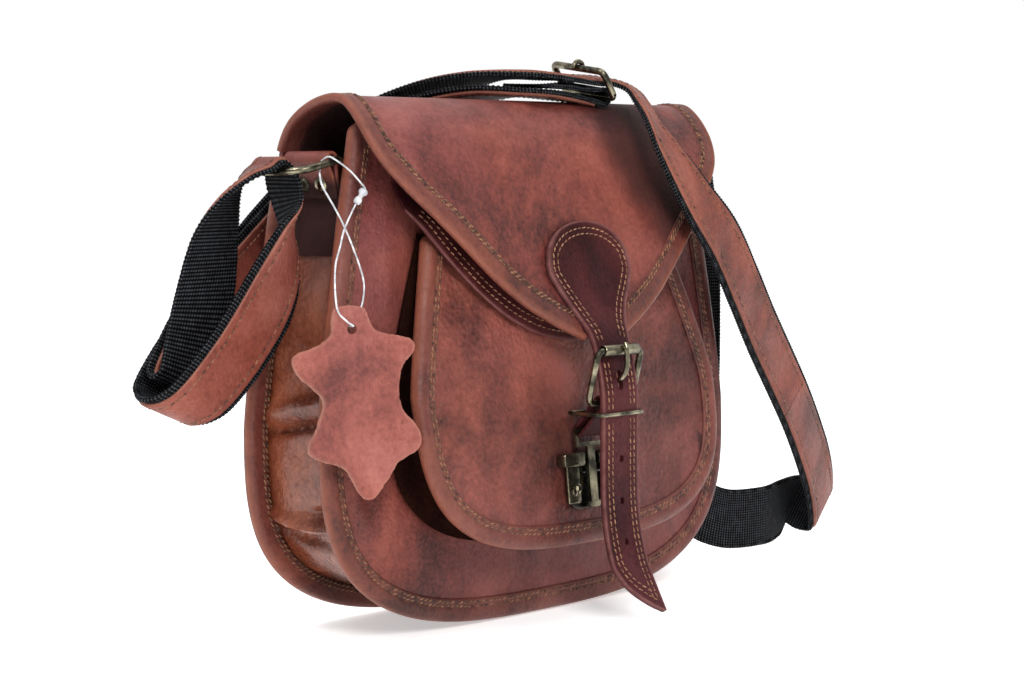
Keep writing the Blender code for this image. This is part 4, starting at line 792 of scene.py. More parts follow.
@dataclass(frozen=True)
class Stitch:
    """One kind of seam: the stitches' size, spacing and slant."""

    length: float = 2.5 * MM
    pitch: float = 3.2 * MM
    radius: float = 0.34 * MM
    slant: float = 0.18
    sink: float = 0.05 * MM

    def template(self) -> tuple[np.ndarray, list[tuple[int, ...]]]:
        """One stitch along X, as points and faces, from a small sphere primitive."""
        deselect()
        bpy.ops.mesh.primitive_uv_sphere_add(segments=6, ring_count=5, radius=1.0)
        ball = bpy.context.active_object
        points = np.array([v.co[:] for v in ball.data.vertices])
        # The primitive orders its points and faces anew each time, so both are sorted.
        order = np.lexsort(np.round(points, 4).T)
        rank, points = np.argsort(order).tolist(), points[order]
        faces = sorted(tuple(rank[i] for i in polygon.vertices) for polygon in ball.data.polygons)
        bpy.data.objects.remove(ball, do_unlink=True)
        # The sphere's axis becomes the thread's, its middle is drawn out, and the ends dip.
        across, high, axis = points.T
        along = np.sign(axis) * np.abs(axis) ** 0.45 * self.length / 2
        round_off = np.where(np.abs(axis) > 0.9, 0.3, 1.0)
        dip = (np.abs(axis) ** 3) * self.radius * 0.9
        shaped = [along, across * self.radius * round_off, high * self.radius * round_off - dip]
        return np.stack(shaped, 1), faces

    def sew(self, name: str, seams: list[tuple[Surface, list[tuple[float, float]]]]) -> bpy.types.Object:
        """Sew along tracks on surfaces.

        Args:
            name: the piece's name.
            seams: pairs of a surface and the track (u, v) that the seam follows on it.

        Returns:
            One object that holds every stitch.
        """
        template, faces = self.template()
        points, polygons = [], []
        for surface, track in seams:
            run = [surface(u, v) for u, v in track]
            normals = []
            for u, v in track:
                across = surface(u + 1e-3, v) - surface(u - 1e-3, v)
                normals.append(across.cross(surface(u, v + 1e-3) - surface(u, v - 1e-3)).normalized())
            lengths = lengths_along(run)
            count, i = int(lengths[-1] / self.pitch), 0
            for k in range(count):
                want = (k + 0.5) * self.pitch
                while i < len(run) - 2 and lengths[i + 1] < want:
                    i += 1
                t = (want - lengths[i]) / max(lengths[i + 1] - lengths[i], 1e-9)
                normal = normals[i].lerp(normals[i + 1], t).normalized()
                along = (run[i + 1] - run[i]).normalized()
                along = (along - normal * along.dot(normal)).normalized()
                side = normal.cross(along)
                tilt = self.slant + 0.10 * ripple(run[i], 700.0)
                along = (along * math.cos(tilt) + side * math.sin(tilt)).normalized()
                side = normal.cross(along)
                here = run[i].lerp(run[i + 1], t) + normal * (self.radius * 0.55 - self.sink)
                turn = np.array([along, side, normal])
                polygons += [tuple(len(points) * len(template) + f for f in face) for face in faces]
                points.append(template @ turn + np.array(here))
        mesh = bpy.data.meshes.new(name)
        mesh.from_pydata(np.concatenate(points).tolist(), [], polygons)
        mesh.shade_smooth()
        made = bpy.data.objects.new(name, mesh)
        bpy.context.scene.collection.objects.link(made)
        return made


ZIGZAG = Stitch(slant=0.34, length=2.7 * MM, pitch=2.9 * MM, radius=0.42 * MM)
STRAIGHT = Stitch(slant=0.12)


@dataclass(frozen=True)
class Turn:
    """The zone in which a piece goes over from the bag to the lifting flap."""

    start: tuple[float, float, float]
    end: tuple[float, float, float]


def dress(obj: bpy.types.Object, finish: bpy.types.Material, body: str | Turn, *stands_for: str) -> None:
    """Give a piece its finish and its body, and hide the CAD nodes that it replaces; its slot is looked up but
    not given.

    Args:
        obj: the finished piece.
        finish: its material.
        body: the CAD body that it rides on; for a Turn zone the piece is left in place on no body, and does
            not bend.
        stands_for: names of CAD nodes.
    """
    obj.data.materials.clear()
    obj.data.materials.append(finish)
    if isinstance(body, Turn):
        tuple(body.start)
        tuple(body.end)
        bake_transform(obj)
    else:
        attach(obj, body)
    # A finish has a number behind its name where the CAD has a material of that name.
    slot = SLOTS.get(finish.name.split(".")[0])
    if stands_for:
        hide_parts(*stands_for)
    LOG.info("%s: %d faces", obj.name, len(obj.data.polygons))


# The outlines and planes of the body


@dataclass(frozen=True)
class Outline:
    """The edge of a panel: round at its bottom corners and tapering to its top."""

    half_wide: float
    half_top: float
    low: float
    widest: float
    top: float
    corner_power: float
    side_power: float

    def up_to(self, top: float) -> "Outline":
        """The same edge, cut off at another height."""
        share = (top - self.widest) / (self.top - self.widest)
        half = self.half_wide + (self.half_top - self.half_wide) * share**self.side_power
        return Outline(self.half_wide, half, self.low, self.widest, top, self.corner_power, self.side_power)

    def edge(self, spacing: float = 2.0 * MM) -> list[tuple[float, float, float, float]]:
        """The whole edge from the left top round the bottom to the right top.

        Args:
            spacing: the distance between two points.

        Returns:
            Rows of x, z and the inward normal's x and z.
        """
        half = []
        for i in range(121):
            turn = math.pi / 2 * (i / 120) ** 1.6
            x = self.half_wide * math.sin(turn) ** (2 / self.corner_power)
            z = self.low + (self.widest - self.low) * (1 - max(math.cos(turn), 0) ** (2 / self.corner_power))
            half.append(Vector((x, 0, z)))
        for i in range(1, 41):
            x = self.half_wide + (self.half_top - self.half_wide) * (i / 40) ** self.side_power
            half.append(Vector((x, 0, self.widest + (self.top - self.widest) * i / 40)))
        half = even(half, spacing)
        points = [Vector((-p.x, 0, p.z)) for p in reversed(half[1:])] + half
        out = []
        for i, p in enumerate(points):
            run = heading(points, i)
            out.append((p.x, p.z, -run.z, run.x))
        return out

    def half_at(self, z: float) -> float:
        """Half the width at a height."""
        if z < self.widest:
            share = min((self.widest - z) / (self.widest - self.low), 1.0)
            return self.half_wide * (1 - share**self.corner_power) ** (1 / self.corner_power)
        share = (z - self.widest) / (self.top - self.widest)
        return self.half_wide + (self.half_top - self.half_wide) * share**self.side_power


BODY = Outline(
    half_wide=0.140, half_top=0.116, low=0.0, widest=0.093, top=0.231, corner_power=3.06, side_power=1.25
)
POCKET = Outline(
    half_wide=0.1045, half_top=0.0825, low=0.0354, widest=0.1095, top=0.182, corner_power=3.09, side_power=1.15
)
# The body's depth at its foot, and how much less it is at its top
DEPTH, TAPER = 0.0592, 0.0086
# The thickness of panels and of gussets, and depths in from the outer plane
HIDE_WALL, SOFT_WALL = 2.0 * MM, 1.4 * MM
PANEL_AT, WALL_AT, WELT_THICK, GUSSET_INSET = 1.5 * MM, 3.8 * MM, 6.7 * MM, 10.5 * MM


def front_y(z: float) -> float:
    """The front's outer plane."""
    return -(DEPTH - TAPER * z / BODY.top)


def pocket_y(z: float) -> float:
    """The outer plane of the pocket's edge."""
    share = min(max((z - POCKET.low) / (POCKET.top - POCKET.low), 0.0), 1.0)
    return front_y(z) - (29.6 * MM - 20.4 * MM * share**1.5)


def pocket_swell(share: float, z: float) -> float:
    """How far the pocket's face swells past its edge."""
    lift = min(max((z - 0.060) / (POCKET.top - 0.060), 0.0), 1.0)
    return 7.0 * MM * lift**1.3 * (1 - min(share * share, 1.0))


def layer(plane: Callable[[float], float] | None) -> Callable[[float, float], float]:
    """The rule for Y at a height in from an outer plane; None stands for the flat back."""
    if plane is None:
        return lambda z, height: -height
    return lambda z, height: plane(z) + height


@dataclass
class Skin:
    """A panel's face, from its edge inwards to the middle of its top."""

    outline: Outline
    plane: Callable[[float], float] | None
    relief: Callable[[float, float, float], float]
    start: float = 2.2 * MM
    deep: float = PANEL_AT
    edge: list = field(default_factory=list)

    def __post_init__(self) -> None:
        """Lay out the edge."""
        self.edge = self.outline.edge()

    def point(self, u: float, v: float) -> Vector:
        """A point at a share u along the edge and v from the edge to the middle of the top."""
        x, z, nx, nz = between(self.edge, u)
        x, z = x + nx * self.start, z + nz * self.start
        top = self.outline.top
        px, pz = x * (1 - v), z + (top - z) * v
        inset = self.start + abs((px - x) * nx + (pz - z) * nz)
        height = self.deep - self.relief(px, pz, inset)
        return Vector((px, layer(self.plane)(pz, height), pz))

    def build(self, name: str, wall: float, columns: int = 46) -> bpy.types.Object:
        """Mesh the panel, with a wall behind its face.

        Args:
            name: the piece's name.
            wall: its thickness.
            columns: how many points run inwards.

        Returns:
            The new object.
        """
        shares = [(k / columns) ** 1.7 for k in range(columns)] + [0.995]
        count = len(self.edge) - 1
        rows = [[self.point(i / count, v) for v in shares] for i in range(count + 1)]
        made = grid(name, [row[::-1] for row in rows] if self.plane else rows)
        thicken(made, wall)
        shade(made)
        return made


@dataclass
class Welt:
    """The folded edging of a panel, with its seam."""

    name: str
    outline: Outline
    plane: Callable[[float], float] | None
    width: float = 11.0 * MM
    seams: tuple[float, ...] = (7.4 * MM, 9.3 * MM)

    def section(self) -> list[tuple[float, float]]:
        """The closed section, as inset and height in from the outer plane, in metres."""
        front = [(11.0, 0.95), (10.4, 0.45), (9.8, 0.22), (9.3, 0.30), (8.7, 0.12), (8.0, 0.12)]
        front += [(7.4, 0.28), (6.8, 0.05), (6.0, -0.25), (5.0, -0.50), (4.0, -0.62), (3.0, -0.50)]
        front += [(2.0, -0.15), (1.1, 0.50), (0.45, 1.35), (0.08, 2.4)]
        back = [(0.0, 3.35), (0.1, 4.3), (0.45, 5.3), (1.1, 6.1), (2.0, 6.6), (3.2, 6.8)]
        back += [(5.0, 6.8), (7.0, 6.7), (9.0, 6.6)]
        inner = [(9.0, 5.5), (5.0, 5.5), (1.8, 5.5), (1.8, 3.4), (1.8, 1.3), (6.0, 1.25), (11.0, 1.25)]
        return [(a * MM, b * MM) for a, b in front + back + inner]

    def place(self, x: float, z: float, nx: float, nz: float, inset: float, height: float) -> Vector:
        """The place of a point of the section at a point of the edge."""
        deep = z + nz * inset
        wave = 0.12 * MM * ripple(Vector((x, 0, z)), 60.0, 3.0) * (1 if inset > 1.5 * MM else 0)
        return Vector((x + nx * inset, layer(self.plane)(deep, height + wave), deep))

    def surface(self, outline_edge: list, depth: float | None = None) -> Surface:
        """The welt's front, or its back at a depth, over the share of the edge and the inset."""
        insets, heights = zip(*self.section()[16::-1])

        def point(u: float, inset: float) -> Vector:
            x, z, nx, nz = between(outline_edge, u)
            height = depth or float(np.interp(inset, insets, heights))
            return self.place(x, z, nx, nz, inset, height)

        return point

    def build(self, finishes: Finishes, body: str, turned: bool = False) -> None:
        """Make the edging and its stitches.

        Args:
            finishes: the bag's finishes.
            body: the CAD body that it rides on.
            turned: True where the face looks backwards.
        """
        edge = self.outline.edge()
        rings = [[self.place(*spot, a, b) for a, b in self.section()] for spot in edge]
        for k, shrink in ((0, 0.45), (1, 0.86), (-1, 0.45), (-2, 0.86)):
            middle = self.place(*edge[k], 5 * MM, 3.4 * MM)
            rings[k] = [middle + (p - middle) * shrink for p in rings[k]]
        made = loft(self.name + "_edging", rings)
        shade(made, SOFT)
        middle = [self.place(*spot, 0.0, WELT_THICK / 2) for spot in edge]
        mark_rim_wear_and_highlight(made, middle, 3.6 * MM)
        dress(made, finishes.welt, body, self.name)
        surface = self.surface(edge)
        count = len(edge)
        tracks = [[(i / (count - 1), inset) for i in range(2, count - 2)] for inset in self.seams]
        behind = self.surface(edge, 6.72 * MM)
        if turned:
            seams = [(lambda u, v, s=surface: s(1 - u, v), [(1 - u, v) for u, v in track]) for track in tracks]
            seams += [(behind, track) for track in tracks]
        else:
            seams = [(surface, track) for track in tracks]
        thread = ZIGZAG.sew(self.name + "_thread", seams)
        dress(thread, finishes.brown_thread, body)


# Sub-assemblies


@dataclass
class Body:
    """The bag's two panels, their edging, the gusset between them and the lining."""

    finishes: Finishes
    back_top: float = 0.214
    gusset_top: float = 0.201
    lining_top: float = 0.2035

    def front_relief(self, x: float, z: float, inset: float) -> float:
        """How far the front panel's face stands out."""
        drawn = 0.3 * MM * ripple(Vector((x, 0, z * 0.4)), 70.0, 5.0)
        wave = 0.9 * MM * ripple(Vector((x, 0, z)), 16.0, 1.0) + drawn
        fold = 1.1 * MM * bump_at(x, -0.098, 0.005) * step_up(z, 0.10, 0.15)
        fold += 1.6 * MM * bump_at(x + 0.5 * (z - 0.05), -0.116, 0.004) * bump_at(z, 0.062, 0.018)
        return (wave + fold) * step_up(inset, 11 * MM, 22 * MM)

    def back_relief(self, x: float, z: float, inset: float) -> float:
        """How far the back panel's face stands out."""
        return 0.8 * MM * ripple(Vector((x, 0, z)), 14.0, 9.0) * step_up(inset, 11 * MM, 24 * MM)

    def gusset_inset(self, x: float, y: float, z: float) -> float:
        """The gusset's inset from the edge, with its folds."""
        share = min(max((-y - 3.8 * MM) / (DEPTH - 7.6 * MM), 0.0), 1.0)
        arch = math.sin(math.pi * share)
        if x > 0:
            z = z * 0.93 + 0.012
        high_ridge = 0.1000 + 0.0115 * share
        out = 5.4 * MM * bump_at(z, high_ridge, 5.0 * MM) * arch**0.4
        out -= 4.6 * MM * bump_at(z, high_ridge - 9 * MM, 2.4 * MM) * arch**0.5
        low_ridge = 0.0530 - 0.0045 * math.sin(math.pi * share * 0.9)
        out += 6.2 * MM * bump_at(z, low_ridge, 3.4 * MM) * arch**0.35
        out -= 5.0 * MM * bump_at(z, low_ridge + 6.0 * MM, 3.0 * MM) * bump_at(share, 0.72, 0.16)
        out -= 4.4 * MM * bump_at(z, low_ridge - 9 * MM - 6 * MM * share, 2.6 * MM) * arch**0.5
        out += 2.5 * MM * bump_at(z, 0.148, 20 * MM) * arch
        crease = abs(ripple(Vector((x, y * 0.8, z)), 38.0, 4.0))
        fine = 0.7 * MM * ripple(Vector((x, y, z)), 110.0, 2.0) * arch**0.5
        out += 2.6 * MM * (0.30 - crease) * arch**0.6 + fine
        tab = bump_at(y, -0.0285, 19 * MM) ** 0.25 * step_up(z, 0.150, 0.170)
        return GUSSET_INSET - out * step_up(z, 0.012, 0.035) * (1 - min(tab * 1.2, 1.0))

    def gusset(self) -> None:
        """The soft strip between the panels."""
        edge = BODY.up_to(self.gusset_top).edge(1.6 * MM)
        columns = 40
        rows = []
        for x, z, nx, nz in edge:
            row = []
            for k in range(columns + 1):
                share = k / columns
                inset = GUSSET_INSET
                deep = z + nz * inset
                back, front = -WALL_AT, front_y(deep) + WALL_AT
                y = back + (front - back) * share
                inset = self.gusset_inset(x, y, z)
                if k in (0, columns):
                    inset = 6.0 * MM
                row.append(Vector((x + nx * inset, y, z + nz * inset)))
            rows.append(row)
        made = grid("gusset_hide", [row[::-1] for row in rows])
        faces = len(made.data.vertices)
        thicken(made, SOFT_WALL)
        shade(made, SOFT)
        # Painted shade: its inside is dark, and so is its top, in the shade of the side tab.
        heights = [v.co.z for v in made.data.vertices]
        mark(made, "crease", [float(i >= faces) or step_up(z, 0.174, 0.177) for i, z in enumerate(heights)])
        dress(made, self.finishes.gusset, "bag_body", "main_gusset")

    def lining(self) -> None:
        """The sewn pouch inside, open at its top."""
        inset = 13.0 * MM
        pouch = Outline(BODY.half_wide - inset, BODY.half_top - inset, inset, BODY.widest, BODY.top, 3.0, 1.25)
        rings = []
        for k in range(40):
            z = inset + 0.1 * MM + (self.lining_top - inset) * (k / 39) ** 1.5
            half = max(pouch.half_at(z), 20 * MM)
            back, front = -WALL_AT - 1 * MM, front_y(z) + WALL_AT + 1 * MM
            ring = []
            for turn in full_turn(56):
                a, b = math.cos(turn), math.sin(turn)
                x = half * math.copysign(abs(a) ** 0.35, a)
                y = (back + front) / 2 + (back - front) / 2 * math.copysign(abs(b) ** 0.35, b)
                sag = 1.0 * MM * (1 + ripple(Vector((x, y, z)), 45.0)) * (1 - abs(b) ** 4)
                ring.append(Vector((x - math.copysign(sag, x), y, z)))
            rings.append(ring)
        made = loft("lining_pouch", rings, Ends.CAPPED)
        pick(made)
        bpy.ops.object.mode_set(mode="EDIT")
        bpy.ops.mesh.select_all(action="DESELECT")
        bpy.ops.object.mode_set(mode="OBJECT")
        for face in made.data.polygons:
            face.select = len(face.vertices) > 8 and face.center.z > 0.15
        bpy.ops.object.mode_set(mode="EDIT")
        bpy.ops.mesh.delete(type="ONLY_FACE")
        bpy.ops.object.mode_set(mode="OBJECT")
        thicken(made, 0.6 * MM)
        shade(made)
        dress(made, self.finishes.lining, "bag_body", "lining")

    def build(self) -> None:
        """Make every piece of the body."""
        front = Skin(BODY, front_y, self.front_relief).build("front_hide", HIDE_WALL)
        dress(front, self.finishes.hide, "bag_body", "front_panel")
        back_outline = BODY.up_to(self.back_top)
        back = Skin(back_outline, None, self.back_relief).build("back_hide", HIDE_WALL)
        dress(back, self.finishes.hide, "bag_body", "back_panel")
        Welt("front_welt", BODY, front_y).build(self.finishes, "bag_body")
        Welt("back_welt", back_outline, None).build(self.finishes, "bag_body", turned=True)
        self.gusset()
        self.lining()


@dataclass
class Pocket:
    """The front pocket: its swelling face, edging, gusset and the short flap over its mouth."""

    finishes: Finishes
    flap_half: float = 0.095
    flap_top: float = 0.207
    flap_tip: float = 0.131
    flap_corner: float = 0.192
    flap_power: float = 2.2
    flap_seams: tuple[float, ...] = (3.6 * MM, 6.6 * MM)

    def relief(self, x: float, z: float, inset: float) -> float:
        """How far the pocket's face stands out past its seat."""
        half = 0.9 * (POCKET.half_at(max(z, POCKET.low + 1 * MM)) - 2.1 * MM)
        swell = pocket_swell(x / half, z) * step_up(inset, 8.5 * MM, 26 * MM)
        calm = step_up(inset, 11 * MM, 20 * MM) * (1 - step_up(z, 0.110, 0.135))
        wave = 0.25 * MM * ripple(Vector((x, 0, z)), 24.0, 6.0)
        return swell + wave * calm * step_up(abs(x), 0.018, 0.030)

    def smudge(self, x: float, z: float) -> float:
        """How much darker the leather is painted: towards the right, round the clip and in drawn-out patches.
        """
        broad, small = ripple(Vector((x, 0, z * 0.7)), 34.0, 12.0), ripple(Vector((x, 0, z)), 110.0, 4.0)
        cloud = 0.5 + 0.5 * broad + 0.3 * small
        patch = 0.55 * bump_at(x, -0.030, 0.022) * bump_at(z, 0.085, 0.026) + 0.45 * step_up(x, 0.015, 0.060)
        return min(max((patch + 0.30 * bump_at(x, 0.0, 0.020) * bump_at(z, 0.060, 0.030)) * cloud, 0.0), 0.8)

    def gusset(self) -> None:
        """The strip between the pocket's edge and the front panel."""
        rows = []
        for x, z, nx, nz in POCKET.edge():
            row = []
            for k in range(21):
                share = k / 20
                inset = GUSSET_INSET - 6.5 * MM * bump_at(share, 0.0, 0.09)
                inset -= 8.5 * MM * bump_at(share, 1.0, 0.09)
                deep = z + nz * inset
                back, front = front_y(deep) - 0.2 * MM, pocket_y(deep) + WALL_AT
                y = front + (back - front) * share
                arch = math.sin(math.pi * share)
                inset -= 1.6 * MM * arch * (0.4 + ripple(Vector((x, y * 0.6, z)), 46.0, 8.0))
                row.append(Vector((x + nx * inset, y, z + nz * inset)))
            rows.append(row)
        made = grid("pocket_gusset_hide", [row[::-1] for row in rows])
        thicken(made, SOFT_WALL)
        shade(made, SOFT)
        # Painted shade: the pocket's gusset is dark brown leather, made near-black for the deep shade it lies
        # in.
        dress(made, self.finishes.shade, "bag_body", "pocket_gusset")

    def flap_point(self, x: float, z: float) -> Vector:
        """A point of the short flap's outer face."""
        low_z = min(z, POCKET.top)
        over = pocket_y(low_z) - front_y(low_z) - pocket_swell(x / POCKET.half_wide, z)
        low = -2.4 * MM + PANEL_AT
        if z > POCKET.top:
            share = (self.flap_top - z) / (self.flap_top - POCKET.top)
            over = low + (over - 2.7 * MM - low) * share * share * (3 - 2 * share)
        else:
            over -= 2.7 * MM
        return Vector((x, front_y(z) + over, z))

    def flap(self) -> None:
        """The short flap with its raw edge and two golden seams."""
        rows, across, down = [], 72, 36
        for i in range(down + 1):
            row = []
            for k in range(across + 1):
                share = 2 * k / across - 1
                low = self.flap_tip + (self.flap_corner - self.flap_tip) * abs(share) ** self.flap_power
                z = low + (self.flap_top - low) * (i / down) ** 1.3
                row.append(self.flap_point(self.flap_half * share, z))
            rows.append(row)
        made = grid("pocket_flap_hide", rows)
        thicken(made, 1.8 * MM, 0.3 * MM)
        shade(made, SOFT)
        mark_rim_wear_and_highlight(made, rows[0], 1.3 * MM)
        dress(made, self.finishes.dark, "pocket_flap", "pocket_flap")
        run = [Vector((p.x, 0, p.z)) for p in rows[0]]
        seams = []
        for inset in self.flap_seams:
            track = inward(run, inset)
            seams.append((self.flap_point, [(p.x, p.z) for p in track if abs(p.x) < self.flap_half - inset]))
        thread = STRAIGHT.sew("pocket_flap_thread", seams)
        dress(thread, self.finishes.gold_thread, "pocket_flap")

    def build(self) -> None:
        """Make every piece of the pocket."""
        face = Skin(POCKET, pocket_y, self.relief).build("pocket_hide", HIDE_WALL)
        mark(face, "crease", [self.smudge(v.co.x, v.co.z) for v in face.data.vertices])
        dress(face, self.finishes.pocket_hide, "bag_body", "pocket_front")
        Welt("pocket_welt", POCKET, pocket_y).build(self.finishes, "bag_body")
        self.gusset()
        self.flap()


def inward(run: list[Vector], inset: float) -> list[Vector]:
    """A run in the XZ plane moved to its left by an inset."""
    out = []
    for i, here in enumerate(run):
        along = heading(run, i)
        out.append(here + inset * Vector((-along.z, 0, along.x)))
    return out


# Rows of the main flap from its root over the top to its tip: place forward as a share of the body's
# depth, height as a share of the flap's, half width as a share of the bag's width, and the droop of
# the row's ends as a share of the depth.
FLAP_ROWS = [
    (0.030, 0.8835, 0.4215, 0),
    (0.055, 0.9075, 0.4215, 0),
    (0.135, 0.9400, 0.4230, 0),
    (0.253, 0.9650, 0.4250, 0),
    (0.422, 0.9870, 0.4250, 0),
    (0.608, 0.9985, 0.4250, 0),
    (0.777, 0.9980, 0.4250, 0.025),
    (0.912, 0.9855, 0.4250, 0.06),
    (1.030, 0.9580, 0.4250, 0.068),
    (1.123, 0.9218, 0.4215, 0.06),
    (1.191, 0.8807, 0.4070, 0.042),
    (1.247, 0.8354, 0.3730, 0.025),
    (1.311, 0.7819, 0.3250, 0),
    (1.368, 0.7263, 0.2720, 0),
    (1.419, 0.6728, 0.2215, 0),
    (1.478, 0.6235, 0.1660, 0),
    (1.537, 0.5823, 0.1040, 0),
    (1.588, 0.5514, 0.0440, 0),
]
FLAP_HIGH, BAG_WIDE = 0.243, 0.280


@dataclass
class Flap:
    """The main flap and its folded edging."""

    finishes: Finishes
    seams: tuple[float, ...] = (6.9 * MM, 8.3 * MM)
    wall: float = 2.2 * MM
    root_half: float = 0.119
    rows: list = field(default_factory=list)

    def __post_init__(self) -> None:
        """Sample the flap's rows finely."""
        knots = [(-f * DEPTH, u * FLAP_HIGH, h * BAG_WIDE, d * DEPTH) for f, u, h, d in FLAP_ROWS]
        self.rows = smooth(knots, 1.5 * MM)

    def point(self, share: float, down: float) -> Vector:
        """A point at a share across, from -1 to 1, and a share down the rows."""
        y, z, half, droop = between(self.rows, down)
        x, y = half * share, y + droop * share * share
        spot = Vector((x, 0, z + y))
        free = step_up(1 - abs(share), 0.08, 0.2) * step_up(abs(x), 0.030, 0.050)
        wave = 0.35 * MM * ripple(spot, 18.0, 2.0) * free
        return Vector((x, y - wave * 0.7, z + wave * 0.5))

    def face_y(self, x: float, z: float) -> float:
        """Y of the outer face on the front at a place."""
        low, high = 0.35, 1.0
        for _ in range(22):
            middle = (low + high) / 2
            if self.point(0.0, middle).z > z:
                low = middle
            else:
                high = middle
        half = self.rows[min(int(high * (len(self.rows) - 1)), len(self.rows) - 1)][2]
        return self.point(min(max(x / half, -1.0), 1.0), high).y

    def edge_frames(self, side: Side) -> list[tuple[Vector, Vector, Vector]]:
        """Place, inward and outward-facing directions down one edge."""
        sign, out = side.value, []
        run = even([self.point(sign, k / 200) for k in range(4, 201)], 1.6 * MM)
        for i, here in enumerate(run):
            along = heading(run, i)
            inside = Vector((-sign, 0, 0))
            inside = (inside - along * inside.dot(along)).normalized()
            up = inside.cross(along) if side is Side.RIGHT else along.cross(inside)
            out.append((here, inside, up.normalized()))
        return out

    def edging(self, side: Side) -> bpy.types.Object:
        """One side's folded strip, from the root to the tip."""
        top = [(9.6, 0.1), (9.3, 0.62), (8.9, 0.72), (8.3, 0.55), (7.6, 0.62), (6.9, 0.5)]
        top += [(6.3, 0.75), (5.0, 0.9), (3.6, 0.95), (2.4, 0.85), (1.5, 0.6), (0.9, 0.62)]
        top += [(0.2, 0.95), (-0.6, 0.95), (-1.3, 0.6), (-1.8, 0.0)]
        low = [(-2.1, -0.9), (-2.0, -1.8), (-1.4, -2.7), (-0.5, -3.1), (0.6, -3.2), (3.0, -3.1)]
        low += [(8.6, -3.0), (9.2, -2.7)]
        inner = [(9.2, -2.25), (0.3, -2.25), (0.3, 0.03), (9.6, 0.03)]
        section = [(a * MM, b * MM) for a, b in top + low + inner]
        frames = self.edge_frames(side)
        rings = [[here + inside * a + up * b for a, b in section] for here, inside, up in frames]
        made = loft("flap_edging_" + side.name.lower(), rings)
        shade(made, SOFT)
        return made

    def seam_surface(self, side: Side) -> Surface:
        """The edging's top as a surface over the share of the edge and the inset."""
        frames = self.edge_frames(side)

        def point(u: float, inset: float) -> Vector:
            i, t = locate(u, len(frames))
            here, inside, up = (a.lerp(b, t) for a, b in zip(frames[i], frames[i + 1]))
            return here + inside * inset + up * 0.6 * MM

        return point

    def build(self) -> None:
        """Make the flap, its edging and its seams."""
        down, across = 170, 96
        shares = [2 * k / across - 1 for k in range(across + 1)]
        rows = [[self.point(share, 1 - i / down) for share in shares] for i in range(down + 1)]
        made = grid("flap_hide", rows)
        thicken(made, self.wall)
        shade(made, SOFT)
        # Painted shade: the underside is dark but for its rim, and painted shadow darkens the face where the
        # shoulder strap lies over it.
        faces = (down + 1) * (across + 1)
        strap = [placed(*row[:3]) for row in STRAP_ROWS[1:34]]
        shaded = []
        for i, vertex in enumerate(made.data.vertices):
            if i >= faces:
                shaded.append(step_up(self.root_half - abs(vertex.co.x), 0.004, 0.014))
            else:
                near = min((vertex.co - place).length for place in strap)
                shaded.append(0.8 * step_up(0.038 - near, 0.0, 0.018))
        mark(made, "crease", shaded)
        dress(made, self.finishes.hide, "main_flap", "main_flap")
        edges, seams = [], []
        for side in Side:
            edges.append(self.edging(side))
            surface = self.seam_surface(side)
            for inset in self.seams:
                track = [(k / 220, inset) for k in range(1, 219)]
                if side is Side.LEFT:
                    seams.append((surface, track))
                else:
                    seams.append((lambda u, v, s=surface: s(1 - u, v), [(1 - u, v) for u, v in track]))
        edging = join("flap_edging", edges)
        left, right = (
            [here + inside * -0.9 * MM + up * -0.4 * MM for here, inside, up in self.edge_frames(side)]
            for side in Side
        )
        mark_rim_wear_and_highlight(edging, left + right[::-1], 3.0 * MM)
        dress(edging, self.finishes.welt, "main_flap", "flap_welt")
        dress(ZIGZAG.sew("flap_thread", seams), self.finishes.brown_thread, "main_flap")
        self.root()

    def root(self) -> None:
        """The rolled strip at the flap's root, which keeps the joint closed as the flap lifts."""
        half, forward, high = self.root_half - 1.5 * MM, 2.6 * MM, 214.2 * MM
        section = [Vector((0, 1.15 * MM * math.cos(t), 1.1 * MM * math.sin(t))) for t in full_turn(14)]
        rings = []
        for k in range(60):
            middle = Vector((half * (2 * k / 59 - 1), -forward, high))
            rings.append([middle + p for p in section])
        made = loft("flap_root", rings)
        shade(made, SOFT)
        dress(made, self.finishes.hide, "bag_body")


# Rows of the patch from its top down: height as a share of the flap's, half width as a share of the
# closure strap's width, and how much of the clearance it takes to lift off.
PATCH_ROWS = [
    (0.7675, 0.020, 0),
    (0.7665, 0.186, 0),
    (0.7640, 0.344, 0),
    (0.7600, 0.498, 0),
    (0.7560, 0.610, 0),
    (0.7480, 0.770, 0),
    (0.7350, 0.944, 0),
    (0.7200, 1.070, 0),
    (0.7050, 1.135, 0),
    (0.6720, 1.16, 0),
    (0.6420, 1.02, 0),
    (0.6120, 0.82, 0),
    (0.5820, 0.64, 0.4),
    (0.5600, 0.54, 1),
]
# Rows of the strap below it: height as a share of the flap's, place forward as a share of the body's
# depth, and half width as a share of the closure strap's width.
CLOSURE_ROWS = [
    (0.5470, 1.6650, 0.52),
    (0.5300, 1.6900, 0.50),
    (0.4900, 1.7350, 0.50),
    (0.4450, 1.7700, 0.50),
    (0.4050, 1.7740, 0.50),
    (0.3500, 1.7760, 0.50),
    (0.2900, 1.7760, 0.50),
    (0.2300, 1.7860, 0.50),
    (0.1700, 1.8200, 0.50),
    (0.1200, 1.8780, 0.495),
    (0.1000, 1.9150, 0.465),
    (0.0716, 1.9770, 0.37),
    (0.0443, 2.0410, 0.19),
    (0.0270, 2.0830, 0.02),
]

# The foot of the clip's plate, and the directions up along it and out from it
CLIP_FOOT = Vector((0, -84.885 * MM, 52.032 * MM))
CLIP_UP, CLIP_OUT = Vector((0, 0.10757, 0.9942)), Vector((0, -0.9942, 0.10757))


